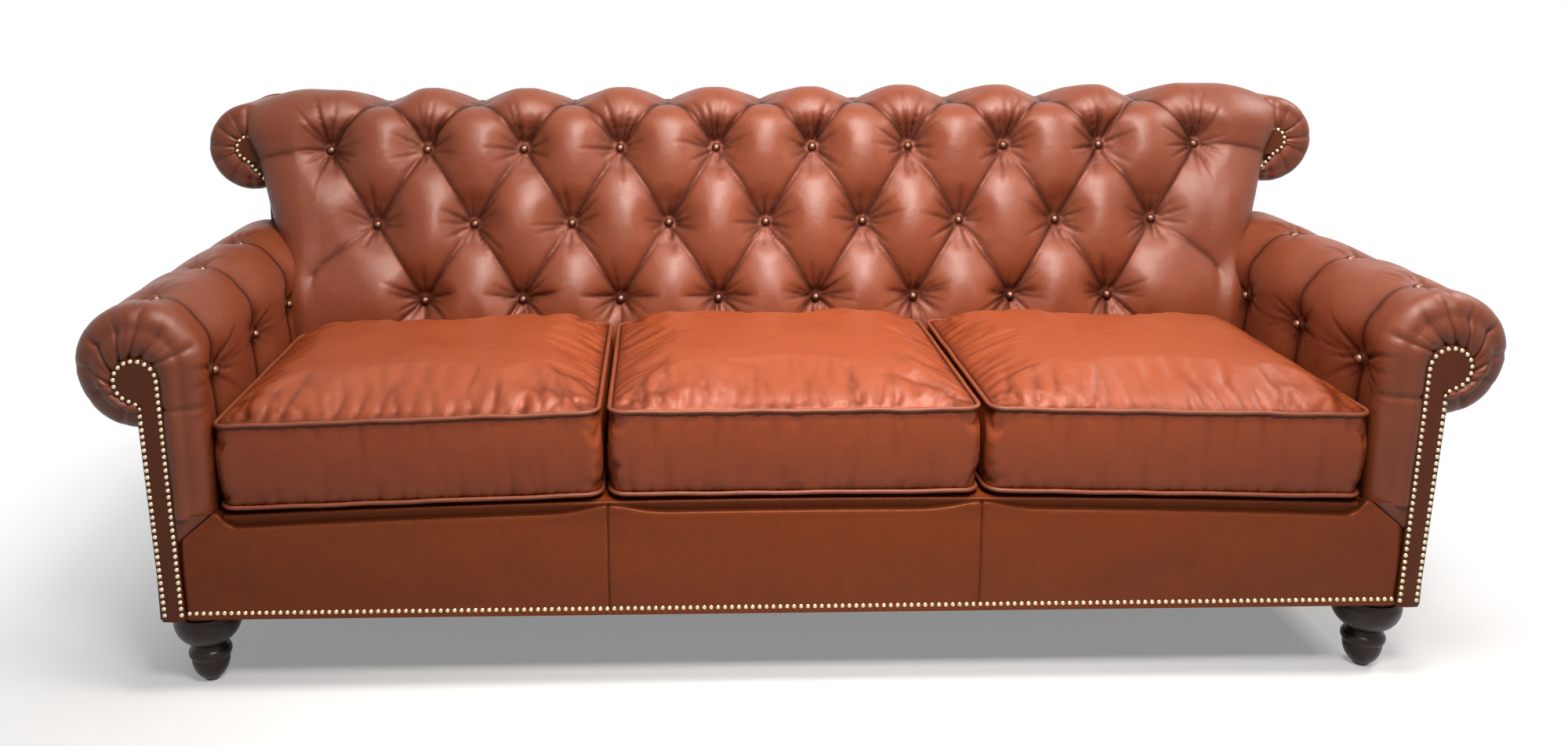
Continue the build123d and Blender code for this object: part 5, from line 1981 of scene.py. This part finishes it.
        for base, other in ((-2000.0, half[1]), (2000.0, half[1]), (4000.0, half[0]), (8000.0, half[0])):
            for at in np.arange(-other + 12.0, other - 8.0, 27.0):
                high = rng.uniform() < 0.6
                start = (base + at + rng.uniform(-9, 9), top_z - 2.0 if high else self.lower + 2.0)
                run = rng.uniform(30.0, 105.0) * (-1.0 if high else 1.0)
                end = (start[0] + rng.uniform(-14, 14), start[1] + run)
                wall.crease(start, end, rng.uniform(1.0, 3.4), 8.0)
        side = (1.0 - above) * ease(points[:, 2], self.lower, self.lower + 6.0)
        deep = crown.folds * above - lumps + wall.folds * side
        points = points - out * deep[:, None]
        seam = np.minimum(np.abs(points[:, 2] - top_z), np.abs(points[:, 2] - self.lower))
        edge = np.maximum(np.abs(points[:, 0]) - half[0], np.abs(points[:, 1]) - half[1])
        drawn = crown.folds * above + wall.folds * side
        # Painted shade along the welt seams and in the wrinkles
        shade = 0.75 * np.exp(-seam / 3.5) * (edge > -16.0) + 0.14 * np.clip(drawn, 0.0, 3.0)
        piece.data.vertices.foreach_set("co", (points * MM).astype(np.float32).ravel())
        piece.data.attributes["crease"].data.foreach_set("value", np.clip(shade, 0, 1).astype(np.float32))
        piece.data.update()

    def welts(self) -> bpy.types.Object:
        """Make the corded welts round both faces.

        Returns:
            The welts, in the cushion's own place.
        """
        reach = self.welt + 0.2
        half = np.array([self.width / 2 + reach, self.length / 2 + reach])
        bend = self.corner + reach
        turn = np.linspace(0.0, pi / 2, 12)
        line = []
        for sx, sy, start in ((1, 1, 0.0), (-1, 1, pi / 2), (-1, -1, pi), (1, -1, 1.5 * pi)):
            centre = (half - bend) * (sx, sy)
            line.append(centre + bend * np.stack([np.cos(turn + start), np.sin(turn + start)], -1))
        loop = np.concatenate(line)
        runs = np.linalg.norm(np.roll(loop, -1, axis=0) - loop, axis=1)
        at = np.concatenate([[0.0], np.cumsum(runs)])
        spots = np.linspace(0.0, at[-1], 320, endpoint=False)
        closed = np.concatenate([loop, loop[:1]])
        flat = np.stack([np.interp(spots, at, closed[:, i]) for i in range(2)], -1)
        skin = Skin()
        for height, seed in ((self.lower, 81), (self.lower + self.boxing, 82)):
            wave = 0.7 * drift(flat[:, 0], flat[:, 1], 110.0, seed)
            skin.tube(np.concatenate([flat, (height + wave)[:, None]], -1), self.welt, closed=True)
        return skin.piece(f"cushion_welts_{self.seat.value}")

    def build(self) -> None:
        """Make the cushion and its welts, and stand them on the deck."""
        skin, held = self.cover()
        piece = skin.piece(f"seat_cushion_{self.seat.value}")
        self.fill(piece, held)
        self.wrinkle(piece)
        welts = self.welts()
        stand = Matrix(self.stand().tolist())
        stand.translation *= MM
        for made in (piece, welts):
            made.data.transform(stand)
            made.data.update()
        name = self.seat.value
        fit_out(piece, "cushion_leather", self.body, f"cushion_cover_{name}", f"cushion_core_{name}")
        fit_out(welts, "piping_leather", self.body, f"cushion_piping_{name}")


@dataclass
class Studio:
    """The pale floor, soft lamps and the camera at the photograph's angle."""

    eye: tuple[float, float, float] = (-0.2043, -2.425, 1.1678)
    yaw: float = 0.013
    pitch: float = 0.185
    roll: float = -0.006
    focus: float = 1648.7
    centre: tuple[float, float] = (870.2, 271.1)
    picture: tuple[float, float] = (2000.0, 951.0)

    def floor(self) -> None:
        """A wide pale floor that keeps the sofa's shadow."""
        skin = Skin()
        spread = np.linspace(-90000.0, 90000.0, 9)
        x, y = np.meshgrid(spread, spread)
        skin.grid(np.stack([x, y, np.zeros_like(x)], -1))
        made = skin.piece("studio_floor")
        material, wires, shader, where = fresh_material("studio_floor")
        tone = wires.noise(where, 0.8, 1.0)
        seen = wires.seen()
        pale = wires.mix(tone, (0.80, 0.80, 0.80, 1), (0.84, 0.84, 0.84, 1))
        wires.feed(shader, "Base Color", wires.mix(seen, (0.22, 0.21, 0.20, 1), pale))
        wires.feed(shader, "Roughness", 0.9)
        axes = wires.add("ShaderNodeSeparateXYZ")
        wires.feed(axes, 0, where)
        reach = []
        for axis, half in ((0, 1.0), (1, 0.42)):
            beyond = wires.math("SUBTRACT", wires.math("ABSOLUTE", axes.outputs[axis]), half)
            reach.append(wires.math("POWER", wires.math("MAXIMUM", beyond, 0.0), 2.0))
        away = wires.math("SQRT", wires.math("ADD", reach[0], reach[1]))
        glow = wires.add("ShaderNodeEmission")
        blend = wires.add("ShaderNodeMixShader")
        wires.feed(blend, 0, wires.math("MULTIPLY", seen, wires.span(away, 0.0, 0.7, 0.25, 1.0)))
        wires.feed(blend, 1, shader.outputs[0])
        wires.feed(blend, 2, glow.outputs[0])
        wires.feed(material.node_tree.nodes["Material Output"], 0, blend.outputs[0])
        made.data.materials.append(material)

    def lamp(
        self,
        name: str,
        place: Place,
        aim: Place,
        size: Place,
        power: float,
        tint: Place,
        grid: float = 180.0,
    ) -> None:
        """A soft rectangular lamp.

        Args:
            name: Its name.
            place: Where it hangs, in metres.
            aim: Where it points.
            size: Its width and height.
            power: Its power in watts.
            tint: Its colour.
            grid: How wide its light fans out, in degrees.
        """
        light = bpy.data.lights.new(name, "AREA")
        light.shape = "RECTANGLE"
        light.size, light.size_y = size
        light.energy = power
        light.color = tint
        light.spread = radians(grid)
        made = bpy.data.objects.new(name, light)
        made.location = place
        made.rotation_mode = "QUATERNION"
        made.rotation_quaternion = (Vector(aim) - Vector(place)).to_track_quat("-Z", "Y")
        bpy.context.scene.collection.objects.link(made)

    def world(self) -> None:
        """Even light from all round, with a white backdrop that the camera and reflections see."""
        world = bpy.data.worlds.new("studio")
        world.use_nodes = True
        wires = Wiring(world.node_tree)
        backdrop = world.node_tree.nodes["Background"]
        wires.feed(backdrop, "Color", (1.0, 0.98, 0.96, 1))
        wires.feed(backdrop, "Strength", wires.span(wires.seen(), 0.0, 1.0, 0.10, 1.0))
        bpy.context.scene.world = world

    def camera(self) -> None:
        """The camera, turned and shifted as the photograph was taken."""
        ahead = Vector((sin(self.yaw) * cos(self.pitch), cos(self.yaw) * cos(self.pitch), -sin(self.pitch)))
        right = Vector((cos(self.yaw), -sin(self.yaw), 0.0))
        up = right.cross(ahead)
        level = cos(self.roll) * right + sin(self.roll) * up
        upright = cos(self.roll) * up - sin(self.roll) * right
        lens = bpy.data.cameras.new("camera")
        lens.sensor_width = 36.0
        lens.lens = self.focus / self.picture[0] * lens.sensor_width
        lens.shift_x = (self.picture[0] / 2 - self.centre[0]) / self.picture[0]
        lens.shift_y = (self.centre[1] - self.picture[1] / 2) / self.picture[0]
        made = bpy.data.objects.new("camera", lens)
        turn = Matrix((level, upright, -ahead)).transposed().to_4x4()
        made.matrix_world = Matrix.Translation(self.eye) @ turn
        bpy.context.scene.collection.objects.link(made)
        bpy.context.scene.camera = made

    def build(self) -> None:
        """Set the studio up."""
        self.floor()
        self.world()
        self.lamp("key", (0.38, -0.90, 2.75), (0.16, -0.1, 0.4), (1.1, 0.6), 28.0, (1.0, 0.94, 0.88), 100.0)
        self.lamp("second", (-0.45, -0.45, 2.80), (-0.40, 0.0, 0.4), (0.9, 0.5), 10.0, (1.0, 0.94, 0.90))
        self.lamp("front", (0.32, -2.00, 2.80), (0.12, 0.1, 0.60), (0.9, 0.5), 19.0, (1.0, 0.95, 0.90), 76.0)
        self.lamp("rim", (2.6, 0.3, 2.4), (0.7, -0.1, 0.6), (1.0, 0.8), 38.0, (1.0, 0.95, 0.91))
        self.camera()
        bpy.context.scene.view_settings.view_transform = "Standard"


def main() -> None:
    """Build the sofa's sub-assemblies in order."""
    logging.basicConfig(level=logging.INFO, format="%(name)s: %(message)s")
    Studio().build()
    WARDROBE.dress_nodes()
    ButtonedBack().build()
    for side in Side:
        BackScroll(side).build()
        RolledArm(side).build()
        OutsidePanels().side(side)
    OutsidePanels().back()
    FrontBorder().build()
    Platform().build()
    for seat in Seat:
        SeatCushion(seat).build()


if __name__ == "__main__":
    main()
